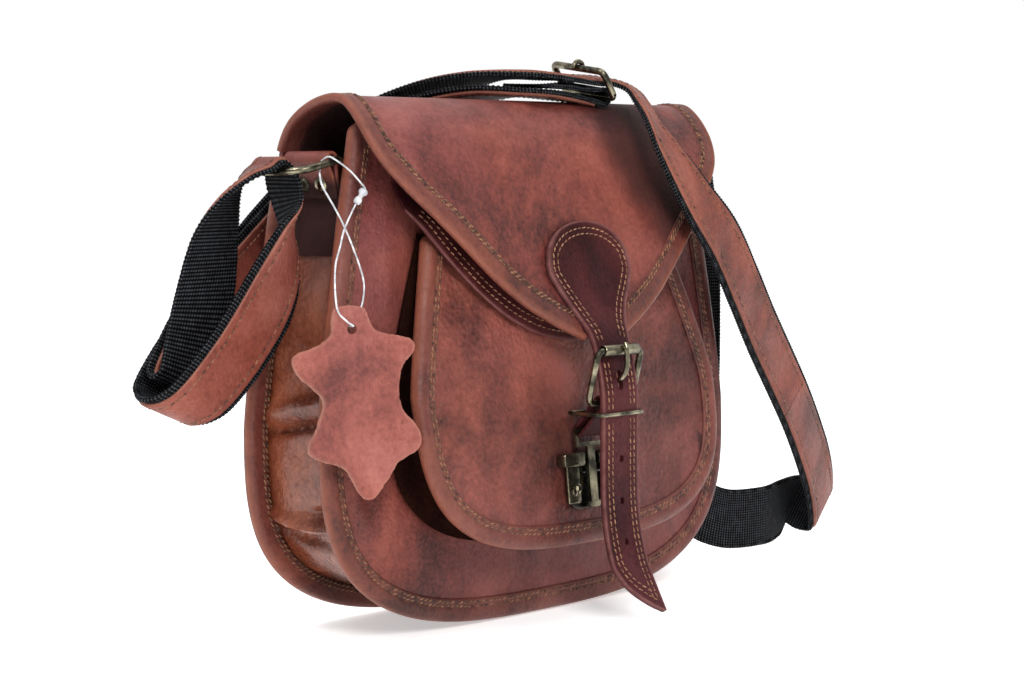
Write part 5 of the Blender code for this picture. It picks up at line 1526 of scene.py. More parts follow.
@dataclass
class Closure:
    """The strap and patch on the flap, its roller buckle, tab, keeper and pinch clip."""

    finishes: Finishes
    flap: Flap
    width: float = 24.5 * MM
    wall: float = 2.4 * MM
    wire_radius: float = 1.6 * MM
    roller_radius: float = 2.7 * MM
    seams: tuple[float, ...] = (3.3 * MM, 6.0 * MM)
    inside: float = 27.5 * MM
    prong_at: float = 0.466 * FLAP_HIGH
    holes: tuple[float, ...] = (0.316 * FLAP_HIGH, 0.235 * FLAP_HIGH, 0.158 * FLAP_HIGH)
    roller: Vector = field(default_factory=lambda: Vector((0, -1.7600 * DEPTH, 0.5240 * FLAP_HIGH)))
    heel: Vector = field(default_factory=lambda: Vector((0, -1.6560 * DEPTH, 0.4230 * FLAP_HIGH)))
    rows: list = field(default_factory=list)

    def __post_init__(self) -> None:
        """Lay the strap's middle line on the flap and down to its point."""
        knots = []
        for up, half, lift in PATCH_ROWS:
            z = up * FLAP_HIGH
            seat = self.flap.face_y(0, z) - 0.2 * MM
            knots.append((seat - self.wall - lift * 1.6 * MM, z, half * self.width))
        for up, forward, half in CLOSURE_ROWS:
            knots.append((-forward * DEPTH, up * FLAP_HIGH, half * self.width))
        self.rows = smooth(knots, 1.2 * MM)

    def at_height(self, z: float) -> tuple[float, float]:
        """Y of the outer face and half the width at a height."""
        for (y, high, half), (after_y, low, after) in zip(self.rows, self.rows[1:]):
            if z >= low:
                t = min(max((high - z) / max(high - low, 1e-6), 0.0), 1.0)
                return y + (after_y - y) * t, half + (after - half) * t
        return self.rows[-1][0], self.rows[-1][2]

    def point(self, x: float, z: float) -> Vector:
        """A point of the outer face, slightly crowned; the knots of its patch follow the flap's curve."""
        y, _ = self.at_height(z)
        crown = 0.25 * MM * math.cos(min(abs(x) / (self.width / 2), 1.0) * math.pi / 2)
        return Vector((x, y - crown, z))

    def skew(self, z: float, half: float) -> float:
        """How far the pointed end's middle lies to the right."""
        return max(self.width / 2 - half, 0.0) * 0.96 if z < 0.036 else 0.0

    def outline(self) -> list[Vector]:
        """The strap's edge in the XZ plane, from the tip up the left side, over the top and down."""
        left = [Vector((self.skew(z, half) - half, 0, z)) for _, z, half in self.rows]
        right = [Vector((self.skew(z, half) + half, 0, z)) for _, z, half in self.rows]
        return left[::-1] + right

    def strap(self) -> None:
        """The leather with its slot, holes and golden seams."""
        rows, across = [], 16
        for _, z, half in reversed(self.rows):
            middle = self.skew(z, half)
            rows.append([self.point(middle + half * (2 * k / across - 1), z) for k in range(across + 1)])
        made = grid("closure_hide", rows)
        thicken(made, self.wall, 0.35 * MM)
        cutters = [self.slot("prong_slot", self.prong_at, 9 * MM, 3.6 * MM)]
        cutters += [self.slot("strap_hole", z, 3.3 * MM, 3.1 * MM) for z in self.holes]
        carve(made, cutters)
        shade(made, SOFT)
        edge = [row[0] for row in rows] + rows[-1] + [row[-1] for row in reversed(rows)]
        mark_rim_wear_and_highlight(made, edge + [edge[0]], 1.1 * MM)
        dress(made, self.finishes.dark, "main_flap", "closure_strap")
        run = even(self.outline(), 1.0 * MM)
        seams = []
        for inset in self.seams:
            track = [(-p.x, p.z) for p in inward([Vector((-q.x, 0, q.z)) for q in run], inset)]
            keep = []
            for x, z in track:
                _, half = self.at_height(z)
                middle = self.skew(z, half)
                if abs(x - middle) < half - inset * 0.8 and not self.under_buckle(z):
                    keep.append((x, z))
            seams += [(self.point, part) for part in stretches(keep, 4 * MM)]
        dress(STRAIGHT.sew("closure_thread", seams), self.finishes.gold_thread, "main_flap")

    def under_buckle(self, z: float) -> bool:
        """True where the buckle's roller or keeper presses on the strap."""
        return abs(z - self.roller.z) < 3.5 * MM or abs(z - self.heel.z + 5 * MM) < 1.8 * MM

    def slot(self, name: str, z: float, length: float, width: float) -> bpy.types.Object:
        """A cutter with ragged round ends that runs front to back."""
        y, _ = self.at_height(z)
        outline = []
        for turn in full_turn(24):
            reach = width / 2 * (1 + 0.10 * ripple(Vector((math.cos(turn), math.sin(turn), z * 50)), 1.7))
            lift = (length - width) / 2 * (1 if math.sin(turn) > 0 else -1)
            outline.append((reach * math.cos(turn), z + reach * math.sin(turn) + lift))
        rings = [[Vector((a, deep, b)) for a, b in outline] for deep in (y - 6 * MM, y + 6 * MM)]
        return loft(name, rings)

    def buckle(self) -> None:
        """The forged frame, its roller and its prong."""
        half = self.inside / 2 + self.wire_radius
        side = Vector((half, 0, 0))
        corners = [self.roller - side, self.roller + side, self.heel + side, self.heel - side]
        path = even_loop(rounded(corners, 4.6 * MM), 0.9 * MM)
        made = wire("closure_frame", path, self.wire_radius, Ends.JOINED)
        dress(made, self.finishes.brass, "main_flap", "closure_buckle_frame")
        inner, outer, reach = 2.0 * MM, self.roller_radius, self.inside / 2 - 1.9 * MM
        ends = [(inner, -reach), (inner + 0.3 * MM, -reach - 0.2 * MM), (outer - 0.2 * MM, -reach)]
        shape = ends + [(outer, -reach + 0.5 * MM), (outer, reach - 0.5 * MM)]
        shape += [(r, -x) for r, x in reversed(ends)]
        rings = []
        for r, x in shape:
            rings.append([self.roller + Vector((x, r * math.cos(a), r * math.sin(a))) for a in full_turn(32)])
        made = loft("closure_roller", rings, Ends.JOINED)
        shade(made)
        dress(made, self.finishes.brass, "closure_roller", "buckle_roller")
        self.prong()

    def prong(self) -> None:
        """The prong, curled round the heel bar and over the roller."""
        bar = 1.1 * MM
        curl, over = self.wire_radius + bar + 0.3 * MM, self.roller_radius + 0.3 * MM + bar
        knots = []
        for k in range(9):
            turn = math.radians(310 - 230 * k / 8)
            knots.append((0, self.heel.y + curl * math.cos(turn), self.heel.z + curl * math.sin(turn)))
        y, _ = self.at_height(self.prong_at)
        knots.append((0, y + self.wall * 1.5, self.prong_at - 1.8 * MM))
        knots.append((0, y - self.wall / 2, self.prong_at + 1.1 * MM))
        knots.append((0, self.roller.y - over, self.roller.z - 2 * over))
        knots.append((0, self.roller.y - over, self.roller.z))
        knots.append((0, self.roller.y - over * 0.75, self.roller.z + over * 0.72))
        path = [Vector(row) for row in smooth(knots, 0.5 * MM)]
        made = wire("closure_prong", path, 1.25 * MM, sides=14)
        dress(made, self.finishes.brass, "closure_prong", "buckle_prong")

    def tab(self) -> None:
        """The leather loop between the buckle and the clip, and the wire keeper."""
        tongue = self.clip_place(0, 36.5, 4.1)
        along = (tongue - self.heel).normalized()
        face = Vector((0, along.z, -along.y))
        thick = 1.5 * MM
        path = []
        for bar, radius, sign in ((self.heel, 2.65 * MM, -1), (tongue, 2.27 * MM, 1)):
            for k in range(17):
                turn = math.pi * k / 16
                path.append(bar + radius * sign * (face * math.cos(turn) + along * math.sin(turn)))
        path = even_loop(path, 1.0 * MM)
        shape = strip_section(8.0 * MM, 0.35 * MM)
        rings = []
        for i, here in enumerate(path):
            run = (path[(i + 1) % len(path)] - path[i - 1]).normalized()
            normal = Vector((0, -run.z, run.y))
            rings.append([here + Vector((a, 0, 0)) + normal * b * thick for a, b in shape])
        made = loft("closure_tab", rings, Ends.JOINED)
        room = 1.4 * MM
        low, high = self.heel.z - 4.7 * MM, self.heel.z + 9.4 * MM
        slot = [Vector((a, 0, b)) for a, b in ((-room, low), (room, low), (room, high), (-room, high))]
        deep = [Vector((0, self.heel.y + d, 0)) for d in (-9.4 * MM, 9.4 * MM)]
        carve(made, [loft("tab_slot", [[p + d for p in slot] for d in deep])])
        shade(made, FIRM)
        dress(made, self.finishes.dark, "main_flap", "buckle_tab")
        z = self.heel.z - 5.0 * MM
        low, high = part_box("buckle_keeper")
        radius = 1.0 * MM
        x, front, back = high.x - radius, low.y + radius, high.y - radius
        corners = [Vector((a, b, z)) for a, b in ((-x, front), (x, front), (x, back), (-x, back))]
        loop = even_loop(rounded(corners, 4.0 * MM), 0.8 * MM)
        made = wire("closure_keeper", loop, radius, Ends.JOINED, 16)
        dress(made, self.finishes.brass, "closure_keeper", "buckle_keeper")

    @staticmethod
    def clip_place(a: float, b: float, c: float) -> Vector:
        """A place on the clip: across, up and out from the foot of its plate, in millimetres."""
        return CLIP_FOOT + Vector((a * MM, 0, 0)) + CLIP_UP * b * MM + CLIP_OUT * c * MM

    def slab(self, name: str, wide: tuple, high: tuple, deep: tuple, soften: float) -> bpy.types.Object:
        """A block of the clip with rounded edges, from one number to another in each direction."""
        (left, right), (low, top), (back, front) = sorted(wide), high, deep
        corners = ((left, low, 0), (right, low, 0), (right, top, 0), (left, top, 0))
        shape = rounded([Vector(p) for p in corners], soften, 5)
        middle = Vector(((left + right) / 2, (low + top) / 2, 0))
        profile = ((back, 0.97), (back + 0.3, 1.0), (front - 0.5, 1.0), (front - 0.15, 0.975), (front, 0.93))
        rings = []
        for depth, shrink in profile:
            rings.append([self.clip_place(*(middle + (p - middle) * shrink).xy, depth) for p in shape])
        made = loft(name, rings)
        shade(made, FIRM)
        return made

    def clip(self) -> None:
        """The pinch clip: a dark plate, and a bright tongue and levers on their pins."""
        f = self.finishes
        broken("clip_spring", f.steel, "bag_body")
        for name in ("clip_pin_left", "clip_pin_right"):
            broken(name, f.brass, "bag_body")
        base = [self.slab("clip_floor", (-14.2, 14.2), (0.6, 25.5), (0.4, 1.6), 5.0)]
        rim = [(13.9, 25.6), (13.9, 6.5), (12.9, 3.2), (10.0, 1.3), (6.0, 0.9)]
        rim = [(-a, b) for a, b in rim] + rim[::-1]
        path = [self.clip_place(a, b, 1.5) for a, b in smooth(rim, 1.0)]
        base.append(wire("clip_rim", path, 1.0 * MM, sides=12))
        dress(join("clip_plate", base), f.black, "bag_body", "clip_base")
        for side in Side:
            sign, name = side.value, "clip_lever_" + side.name.lower()
            arm = self.slab(name + "_arm", (7.6 * sign, 16.2 * sign), (2.9, 21.0), (1.9, 3.3), 0.8)
            pad = self.slab(name + "_pad", (5.2 * sign, 19.4 * sign), (20.2, 26.4), (0.6, 5.4), 1.5)
            rings = []
            for r, high in ((1.9, 3.2), (1.85, 3.6), (1.4, 3.9), (0.7, 4.05), (0.1, 4.1)):
                spots = [(11.9 * sign + r * math.cos(t), 8.2 + r * math.sin(t)) for t in full_turn(20)]
                rings.append([self.clip_place(a, b, high) for a, b in spots])
            dome = loft(name + "_rivet", rings)
            shade(dome)
            dress(join(name + "_bright", [arm, pad, dome]), f.brass, name, name)
        broken("clip_tongue", f.brass, "main_flap")

    def build(self) -> None:
        """Make every piece of the closure."""
        self.strap()
        self.buckle()
        self.tab()
        self.clip()


def broken(name: str, finish: bpy.types.Material, body: str) -> None:
    """A metal piece shaped like its CAD node, with its edges broken."""
    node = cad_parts[name]
    mesh = node.data.copy()
    mesh.transform(node.matrix_world)
    made = bpy.data.objects.new(name + "_metal", mesh)
    bpy.context.scene.collection.objects.link(made)
    bevel = made.modifiers.new("soften", "BEVEL")
    bevel.width, bevel.segments = 0.28 * MM, 2
    bevel.limit_method, bevel.angle_limit = "ANGLE", math.radians(35)
    apply_modifiers(made)
    shade(made, FIRM)
    dress(made, finish, body, name)


def stretches(track: list[tuple[float, float]], gap: float) -> list[list[tuple[float, float]]]:
    """A track parted wherever two of its points lie further apart than a gap."""
    parts = [[track[0]]]
    for before, here in zip(track, track[1:]):
        if math.dist(before, here) > gap:
            parts.append([])
        parts[-1].append(here)
    return [part for part in parts if len(part) > 2]


@dataclass
class SideRing:
    """A D-ring and the rolled leather tab that holds it."""

    finishes: Finishes
    side: Side
    inside: float = 33 * MM
    reach: float = 23.5 * MM
    radius: float = 1.7 * MM
    tab_half: float = 14 * MM
    tab_wall: float = 1.8 * MM
    rivet_radius: float = 3.6 * MM
    rivet_high: float = 2.0 * MM
    bar: Vector = field(default_factory=lambda: Vector((122.5316 * MM, -28.507 * MM, 214.5 * MM)))

    def ring(self) -> None:
        """The ring's bar and bow."""
        sign, half = self.side.value, self.inside / 2 + self.radius
        x, y, z = self.bar.x * sign, self.bar.y, self.bar.z
        path = [Vector((x, y - half + 2 * half * (k + 0.5) / 14, z)) for k in range(14)]
        for k in range(61):
            turn = math.pi * k / 60
            reach = self.reach * math.sin(turn) ** 0.3 if 0 < k < 60 else 0.0
            drop = 5.5 * MM * reach / self.reach
            path.append(Vector((x + sign * reach, y + half * math.cos(turn), z - drop)))
        name = self.side.name.lower()
        made = wire("side_ring_" + name, even_loop(path, 1.4 * MM), self.radius, Ends.JOINED)
        dress(made, self.finishes.brass, "ring_" + name, "ring_" + name)

    def tab(self) -> None:
        """The tab, sewn to the gusset, rolled round the bar and riveted."""
        sign, name, thick, half = self.side.value, self.side.name.lower(), self.tab_wall, self.tab_half
        bar = Vector((self.bar.x, 0, self.bar.z))
        seat = [Vector((BODY.half_at(z) - GUSSET_INSET + 0.3 * MM + thick / 2, 0, z)) for z in (0.172, 0.188)]
        up = (bar - seat[1]).normalized()
        out = Vector((up.z, 0, -up.x))
        apart, radius = thick / 2 + 0.3 * MM, self.radius + 0.3 * MM + thick / 2
        path = [seat[0], seat[1], bar - up * 7.0 * MM - out * apart]
        for k in range(29):
            turn = math.radians(-120 + 240 * k / 28)
            path.append(bar + radius * (up * math.cos(turn) + out * math.sin(turn)))
        path += [bar - up * 7.0 * MM + out * apart, bar - up * 17.0 * MM + out * apart]
        path = even(path, 0.9 * MM)
        shape = strip_section(half, 0.4 * MM)
        rings = []
        for i, here in enumerate(path):
            run = heading(path, i)
            normal = Vector((run.z, 0, -run.x))
            wave = 0.3 * MM * ripple(here, 160.0)
            ring = [here + Vector((0, a, 0)) + normal * (b * thick + wave * (a / half) ** 2) for a, b in shape]
            rings.append([Vector((p.x * sign, p.y + self.bar.y, p.z)) for p in ring])
        made = loft("side_tab_" + name, rings)
        shade(made, FIRM)
        edge = [ring[0] for ring in rings] + [ring[4] for ring in reversed(rings)]
        mark_rim_wear_and_highlight(made, edge, 1.2 * MM)
        # Painted shade: the tab's lower part, under the ring, is darkened.
        mark(made, "crease", [step_up(bar.z - v.co.z, 5 * MM, 12 * MM) for v in made.data.vertices])
        dress(made, self.finishes.hide, "bag_body", "ring_tab_" + name)
        face = bar - up * 10.8 * MM + out * (apart + thick / 2 + 0.1 * MM)
        shape = [(1.0, -0.1), (1.02, 0.05), (0.98, 0.14), (0.92, 0.2), (0.86, 0.4)]
        shape += [(0.74, 0.62), (0.58, 0.8), (0.4, 0.92), (0.2, 0.99), (0.02, 1.0)]
        for k, spread in enumerate((-1, 1)):
            spot = face + Vector((0, spread * 5.6 * MM, 0))
            rings = []
            for wide, rise in shape:
                ring = []
                for turn in full_turn(28):
                    across = up * math.cos(turn) + Vector((0, math.sin(turn), 0))
                    p = spot + out * rise * self.rivet_high + across * wide * self.rivet_radius
                    ring.append(Vector((p.x * sign, p.y + self.bar.y, p.z)))
                rings.append(ring)
            dome = loft("dome_%s_%d" % (name, k + 1), rings)
            shade(dome)
            dress(dome, self.finishes.brass, "bag_body", "tab_rivet_%s_%d" % (name, k + 1))

    def build(self) -> None:
        """Make the ring, its tab and the tab's rivets."""
        self.ring()
        self.tab()


# The shoulder strap's route: a place as shares of half the bag's width, of the body's depth and of the
# flap's height, and the direction across the strap.
STRAP_ROWS = [
    (1.043, 0.483, 0.7240, 0, 1, 0),
    (1.040, 0.483, 0.7800, 0, 1, 0),
    (1.012, 0.483, 0.8250, 0, 1, 0),
    (1.006, 0.483, 0.8600, 0, 1, 0),
    (1.043, 0.483, 0.8785, 0, 1, 0),
    (1.075, 0.483, 0.8600, 0, 1, 0),
    (1.073, 0.483, 0.8200, 0, 1, 0),
    (1.070, 0.483, 0.7700, 0, 1, 0),
    (1.072, 0.483, 0.7000, 0, 1, 0),
    (1.090, 0.460, 0.5600, 0, 1, -0.05),
    (1.120, 0.400, 0.3800, 0, 1, -0.15),
    (1.150, 0.300, 0.2200, 0, 0.85, -0.5),
    (1.200, 0.240, 0.1250, -0.2, 0.35, -0.9),
    (1.320, 0.360, 0.0830, -0.1, 0.05, -1),
    (1.520, 0.450, 0.0780, 0, 0, -1),
    (1.720, 0.300, 0.0790, -0.1, 0, -1),
    (1.850, 0.200, 0.0850, -0.45, 0, -0.9),
    (1.900, 0.190, 0.0870, -0.65, 0, -0.76),
    (1.929, 0.250, 0.0740, -0.65, 0, -0.76),
    (1.938, 0.340, 0.0700, -0.65, 0, -0.76),
    (1.929, 0.430, 0.0740, -0.65, 0, -0.76),
    (1.890, 0.500, 0.0930, -0.66, 0, -0.75),
    (1.820, 0.600, 0.1400, -0.68, -0.02, -0.73),
    (1.690, 0.740, 0.2150, -0.7, -0.04, -0.7),
    (1.450, 0.940, 0.3450, -0.7, -0.06, -0.7),
    (1.110, 1.170, 0.5180, -0.72, -0.08, -0.68),
    (0.920, 1.310, 0.6180, -0.74, -0.1, -0.66),
    (0.725, 1.440, 0.7200, -0.74, -0.14, -0.62),
    (0.560, 1.480, 0.8000, -0.7, -0.26, -0.6),
    (0.450, 1.430, 0.8780, -0.68, -0.42, -0.55),
    (0.395, 1.350, 0.9350, -0.7, -0.55, -0.4),
    (0.400, 1.220, 0.9820, -0.74, -0.6, -0.28),
    (0.430, 1.050, 1.0120, -0.78, -0.6, -0.2),
    (0.438, 0.900, 1.0310, -0.6, -0.78, -0.16),
    (0.392, 0.775, 1.0415, -0.25, -0.95, -0.14),
    (0.310, 0.725, 1.0428, -0.1, -0.98, -0.13),
    (0.210, 0.710, 1.0440, -0.04, -1, -0.08),
    (0.080, 0.700, 1.0470, 0, -1, -0.03),
    (-0.020, 0.630, 1.0465, -0.350, -0.935, 0.050),
    (-0.140, 0.405, 1.0340, -0.674, -0.704, 0.225),
    (-0.250, 0.145, 1.0080, -0.741, -0.574, 0.349),
    (-0.370, -0.105, 0.9570, -0.74, -0.424, 0.522),
    (-0.500, -0.265, 0.8850, -0.737, -0.196, 0.647),
    (-0.640, -0.3125, 0.7950, -0.699, -0.007, 0.715),
    (-0.800, -0.290, 0.7160, -0.648, 0.077, 0.757),
    (-0.980, -0.205, 0.6300, -0.642, 0.155, 0.751),
    (-1.150, -0.060, 0.5550, -0.642, 0.183, 0.745),
    (-1.330, 0.060, 0.4720, -0.88, 0, 0.45),
    (-1.372, 0.170, 0.4500, -0.92, 0, 0.39),
    (-1.392, 0.310, 0.4420, -0.92, 0, 0.39),
    (-1.372, 0.450, 0.4500, -0.92, 0, 0.39),
    (-1.320, 0.530, 0.4780, -0.88, 0, 0.45),
    (-1.205, 0.570, 0.5500, -0.84, 0, 0.54),
    (-1.090, 0.590, 0.6400, -0.8, -0.04, 0.58),
    (-1.010, 0.570, 0.7250, -0.7, -0.4, 0.46),
    (-0.985, 0.520, 0.7900, -0.35, -0.9, 0.2),
    (-0.990, 0.485, 0.8350, -0.05, -1, 0),
    (-1.006, 0.483, 0.8620, 0, -1, 0),
    (-1.043, 0.483, 0.8785, 0, -1, 0),
    (-1.075, 0.477, 0.8660, -0.15, -0.97, 0),
    (-1.118, 0.430, 0.8500, -0.5, -0.8, 0),
    (-1.170, 0.370, 0.8110, -0.8, -0.55, 0),
    (-1.212, 0.330, 0.7500, -0.95, -0.25, 0),
    (-1.250, 0.315, 0.6500, -1, 0, 0),
    (-1.285, 0.305, 0.5650, -0.98, 0, 0.2),
    (-1.310, 0.305, 0.5100, -0.95, 0, 0.32),
    (-1.318, 0.295, 0.4900, -0.92, 0, 0.39),
    (-1.326, 0.220, 0.4780, -0.92, 0, 0.39),
    (-1.316, 0.145, 0.4900, -0.92, 0, 0.39),
    (-1.280, 0.120, 0.5200, -0.88, 0, 0.45),
    (-1.150, 0.020, 0.5850, -0.613, 0.189, 0.767),
    (-0.980, -0.100, 0.6450, -0.576, 0.165, 0.801),
    (-0.800, -0.180, 0.7200, -0.612, 0.08, 0.787),
    (-0.640, -0.200, 0.7950, -0.668, -0.007, 0.744),
    (-0.500, -0.160, 0.8750, -0.698, -0.208, 0.686),
    (-0.370, -0.020, 0.9400, -0.699, -0.451, 0.555),
    (-0.250, 0.200, 0.9850, -0.704, -0.607, 0.369),
    (-0.140, 0.440, 1.0085, -0.638, -0.733, 0.235),
    (-0.020, 0.635, 1.0160, -0.380, -0.920, 0.05),
    (0.072, 0.685, 1.0175, 0, -1, -0.03),
    (0.215, 0.700, 1.0115, -0.04, -1, -0.08),
    (0.300, 0.720, 1.0062, -0.1, -0.98, -0.13),
    (0.345, 0.726, 1.0040, -0.1, -0.98, -0.14),
    (0.368, 0.726, 1.0172, -0.1, -0.98, -0.14),
    (0.345, 0.726, 1.0308, -0.1, -0.98, -0.14),
    (0.300, 0.720, 1.0312, -0.1, -0.98, -0.13),
    (0.215, 0.705, 1.0285, -0.04, -1, -0.08),
    (0.130, 0.698, 1.0292, 0, -1, -0.04),
    (0.040, 0.692, 1.0298, 0, -1, -0.02),
]

# The hide-shaped hang tag: across and down from its hole, as shares of its width and height
TAG_ROWS = [
    (-0.127, 0.106),
    (-0.167, -0.027),
    (-0.277, -0.086),
    (-0.448, -0.131),
    (-0.425, -0.224),
    (-0.232, -0.359),
    (-0.265, -0.487),
    (-0.343, -0.623),
    (-0.212, -0.686),
    (-0.053, -0.730),
    (0.065, -0.866),
    (0.160, -0.892),
    (0.290, -0.788),
    (0.372, -0.707),
    (0.537, -0.641),
    (0.545, -0.546),
    (0.390, -0.407),
    (0.392, -0.224),
    (0.498, -0.122),
    (0.457, -0.058),
    (0.190, -0.010),
    (0.088, 0.107),
]

# The nylon loop's route, in the same shares as the strap's
CORD_ROWS = [
    (-0.832, 0.963, 0.8313),
    (-0.868, 0.909, 0.8600),
    (-0.907, 0.850, 0.8807),
    (-0.921, 0.789, 0.8880),
    (-0.932, 0.734, 0.8770),
    (-0.946, 0.765, 0.8620),
    (-0.971, 0.828, 0.8560),
    (-0.979, 0.878, 0.8354),
    (-0.957, 0.946, 0.7984),
    (-0.929, 0.988, 0.7613),
    (-0.896, 1.047, 0.6996),
    (-0.890, 1.090, 0.6597),
    (-0.916, 1.125, 0.6214),
    (-0.950, 1.132, 0.5988),
    (-0.974, 1.142, 0.5908),
    (-0.987, 1.220, 0.5910),
    (-1.016, 1.216, 0.6008),
    (-1.040, 1.182, 0.6235),
    (-1.021, 1.115, 0.6885),
    (-0.982, 1.069, 0.7284),
    (-0.946, 1.030, 0.7617),
    (-0.879, 0.975, 0.8025),
]


def placed(x: float, forward: float, up: float) -> Vector:
    """A place from shares of half the width, the depth and the flap's height."""
    return Vector((x * BODY.half_wide, -forward * DEPTH, up * FLAP_HIGH))


@dataclass
class ShoulderStrap:
    """Ribbed webbing faced with stitched leather, and the prong buckle that joins its ends."""

    finishes: Finishes
    width: float = 32 * MM
    facing: float = 26 * MM
    facing_top: float = 2.25 * MM
    seam_inset: float = 3.4 * MM
    rib: float = 2.0 * MM
    split: float = 37.5
    pinch_reach: float = 20 * MM
    facing_end: float = 81.0
    left: Turn = Turn((-0.078, 0.022, 0.199), (-0.020, -0.012, 0.247))
    right: Turn = Turn((0.135, -0.08, 0.15), (0.065, -0.08, 0.15))
    rows: list = field(default_factory=list)
    at: list = field(default_factory=list)
    pinches: list = field(default_factory=list)

    def __post_init__(self) -> None:
        """Trace the route finely."""
        knots = []
        for x, forward, up, *across in STRAP_ROWS:
            knots.append([*placed(x, forward, up), *Vector(across).normalized()])
        self.rows, self.at = trace(knots, (0.5) * MM)
        # The knots at the rings and the buckle, where the webbing is drawn in to a share of its width
        ends = ((4, 0.58), (33, 0.60), (58, 0.58), (len(knots) - 6, 0.82))
        self.pinches = [(Vector(knots[row][:3]), least) for row, least in ends]

    def frames(self, first: float, last: float) -> list[tuple[Vector, Vector, Vector, float]]:
        """Place, across and outward directions and the width's share between two knots."""
        out, places = [], [Vector(row[:3]) for row in self.rows]
        for i, (row, at, here) in enumerate(zip(self.rows, self.at, places)):
            if not first <= at <= last:
                continue
            along = heading(places, i)
            across = Vector(row[3:]).normalized()
            share = 1.0
            for spot, least in self.pinches:
                near = bump_at((here - spot).length, 0.0, self.pinch_reach)
                share = min(share, 1 - (1 - least) * near)
            out.append((here, across, along.cross(across).normalized(), share))
        return out

    def webbing(self, name: str, first: float, last: float) -> bpy.types.Object:
        """A stretch of the webbing with its rope-like edges."""
        half = self.width / 2
        edge = [(0.0, 0.0), (0.16, 0.72), (0.75, 1.02), (1.5, 1.0), (2.2, 0.82), (2.9, 0.8)]
        low = [(a, -b) for a, b in reversed(edge[1:])]
        left = [(-half + a * MM, b * MM) for a, b in edge]
        right = [(half - a * MM, b * MM) for a, b in reversed(edge)]
        under = [(half - a * MM, b * MM) for a, b in reversed(low)]
        back = [(-half + a * MM, b * MM) for a, b in low]
        section = left + [(0.0, 0.8 * MM)] + right + under + [(0.0, -0.8 * MM)] + back
        rings, length, before = [], 0.0, None
        for here, across, out, share in self.frames(first, last):
            length += (here - before).length if before else 0.0
            before = here
            wave = math.sin(math.tau * length / self.rib)
            ring = []
            for a, b in section:
                near = step_up(abs(a), half - 2.6 * MM, half - 1.4 * MM)
                reach = a * share + math.copysign(0.30 * MM * wave * near, a)
                ring.append(here + across * reach + out * b * (1 + 0.30 * wave * near))
            rings.append(ring)
        made = loft(name, rings)
        shade(made, WOVEN)
        return made

    def hide(self, name: str, first: float, last: float) -> bpy.types.Object:
        """A stretch of the leather facing."""
        half, low = self.facing / 2, 1.0
        top = [(0.0, 0.5), (0.12, 1.1), (0.5, 1.36), (1.4, 1.42), (2.6, 1.38)]
        top += [(3.4, 1.22), (4.2, 1.38), (6.0, 1.42)]
        left = [(-half + a * MM, (low + b) * MM) for a, b in top]
        right = [(half - a * MM, (low + b) * MM) for a, b in reversed(top)]
        foot = half - 0.1 * MM
        section = [(-foot, low * MM)] + left + [(0.0, (low + 1.44) * MM)] + right + [(foot, low * MM)]
        rings = []
        for here, across, out, share in self.frames(first, last)[::2]:
            wave = 0.10 * MM * ripple(here, 120.0)
            ring = []
            for a, b in section:
                ring.append(here + across * a * share + out * (b + (wave if b > 1.2 * low * MM else 0)))
            rings.append(ring)
        made = loft(name, rings)
        shade(made, SOFT)
        edge = [ring[1] for ring in rings] + [ring[-2] for ring in reversed(rings)]
        mark_rim_wear_and_highlight(made, edge + [edge[0]], 0.9 * MM)
        return made

    def seams(self, name: str, first: float, last: float) -> bpy.types.Object:
        """The two rows of stitches of a stretch of facing."""
        frames = self.frames(first, last)

        def point(u: float, a: float) -> Vector:
            i, t = locate(u, len(frames))
            here, across, out = (p.lerp(q, t) for p, q in zip(frames[i][:3], frames[i + 1][:3]))
            share, share_after = frames[i][3], frames[i + 1][3]
            return here + across * a * (share + (share_after - share) * t) + out * self.facing_top

        half = self.facing / 2 - self.seam_inset
        count = len(frames) // 3
        tracks = [[(k / count, a) for k in range(1, count)] for a in (-half, half)]
        return STRAIGHT.sew(name, [(point, track) for track in tracks])

    def slide(self) -> None:
        """The prong buckle on top of the flap."""
        along = Vector((-0.1, -0.98, -0.14)).normalized()
        top, low = placed(0.290, 0.712, 1.0690), placed(0.345, 0.726, 1.0172)
        radius = 1.7 * MM
        half = along * (self.width / 2 + 0.5 * MM + radius)
        path = rounded([top - half, top + half, low + half, low - half], 3.6 * MM)
        made = wire("slide_frame", even_loop(path, 0.9 * MM), radius, Ends.JOINED)
        dress(made, self.finishes.brass, "main_flap", "strap_buckle_frame")
        aside = Vector((1, 0, 0))
        aside = (aside - along * aside.dot(along)).normalized()
        up = aside.cross(along)
        up = up if up.z > 0 else -up
        bar = 1.1 * MM
        curl = radius + bar + 0.3 * MM
        knots = []
        for k in range(9):
            turn = math.radians(185 - 185 * k / 8)
            knots.append(top + curl * (aside * math.cos(turn) + up * math.sin(turn)))
        knots.append(top + aside * (curl + 3.4 * MM) - up * 0.3 * MM)
        knots.append(top + aside * (curl + 10.2 * MM) - up * 0.3 * MM)
        path = [Vector(row) for row in smooth([list(k) for k in knots], 0.5 * MM)]
        made = wire("slide_prong", path, 1.2 * MM, sides=14)
        dress(made, self.finishes.brass, "strap_prong", "strap_buckle_prong")

    def build(self) -> None:
        """Make the webbing, the facing, their seams and the buckle."""
        f, left, right = self.finishes, self.left, self.right
        first, split, last, lap = 1.0, self.split, self.facing_end, self.lap_place()
        web = self.webbing("webbing_left", split, len(STRAP_ROWS) - 1)
        dress(web, f.webbing, left, "shoulder_strap_webbing")
        dress(self.webbing("webbing_right", 0, split), f.webbing, right)
        dress(self.hide("facing_short", first, lap), f.facing, right, "shoulder_strap_facing_short")
        dress(self.hide("facing_right", lap, split), f.facing, right)
        dress(self.hide("facing_left", split, last), f.facing, left, "shoulder_strap_facing_long")
        dress(self.seams("strap_thread_right", first, split), f.brown_thread, right)
        dress(self.seams("strap_thread_left", split, last), f.brown_thread, left)
        self.slide()

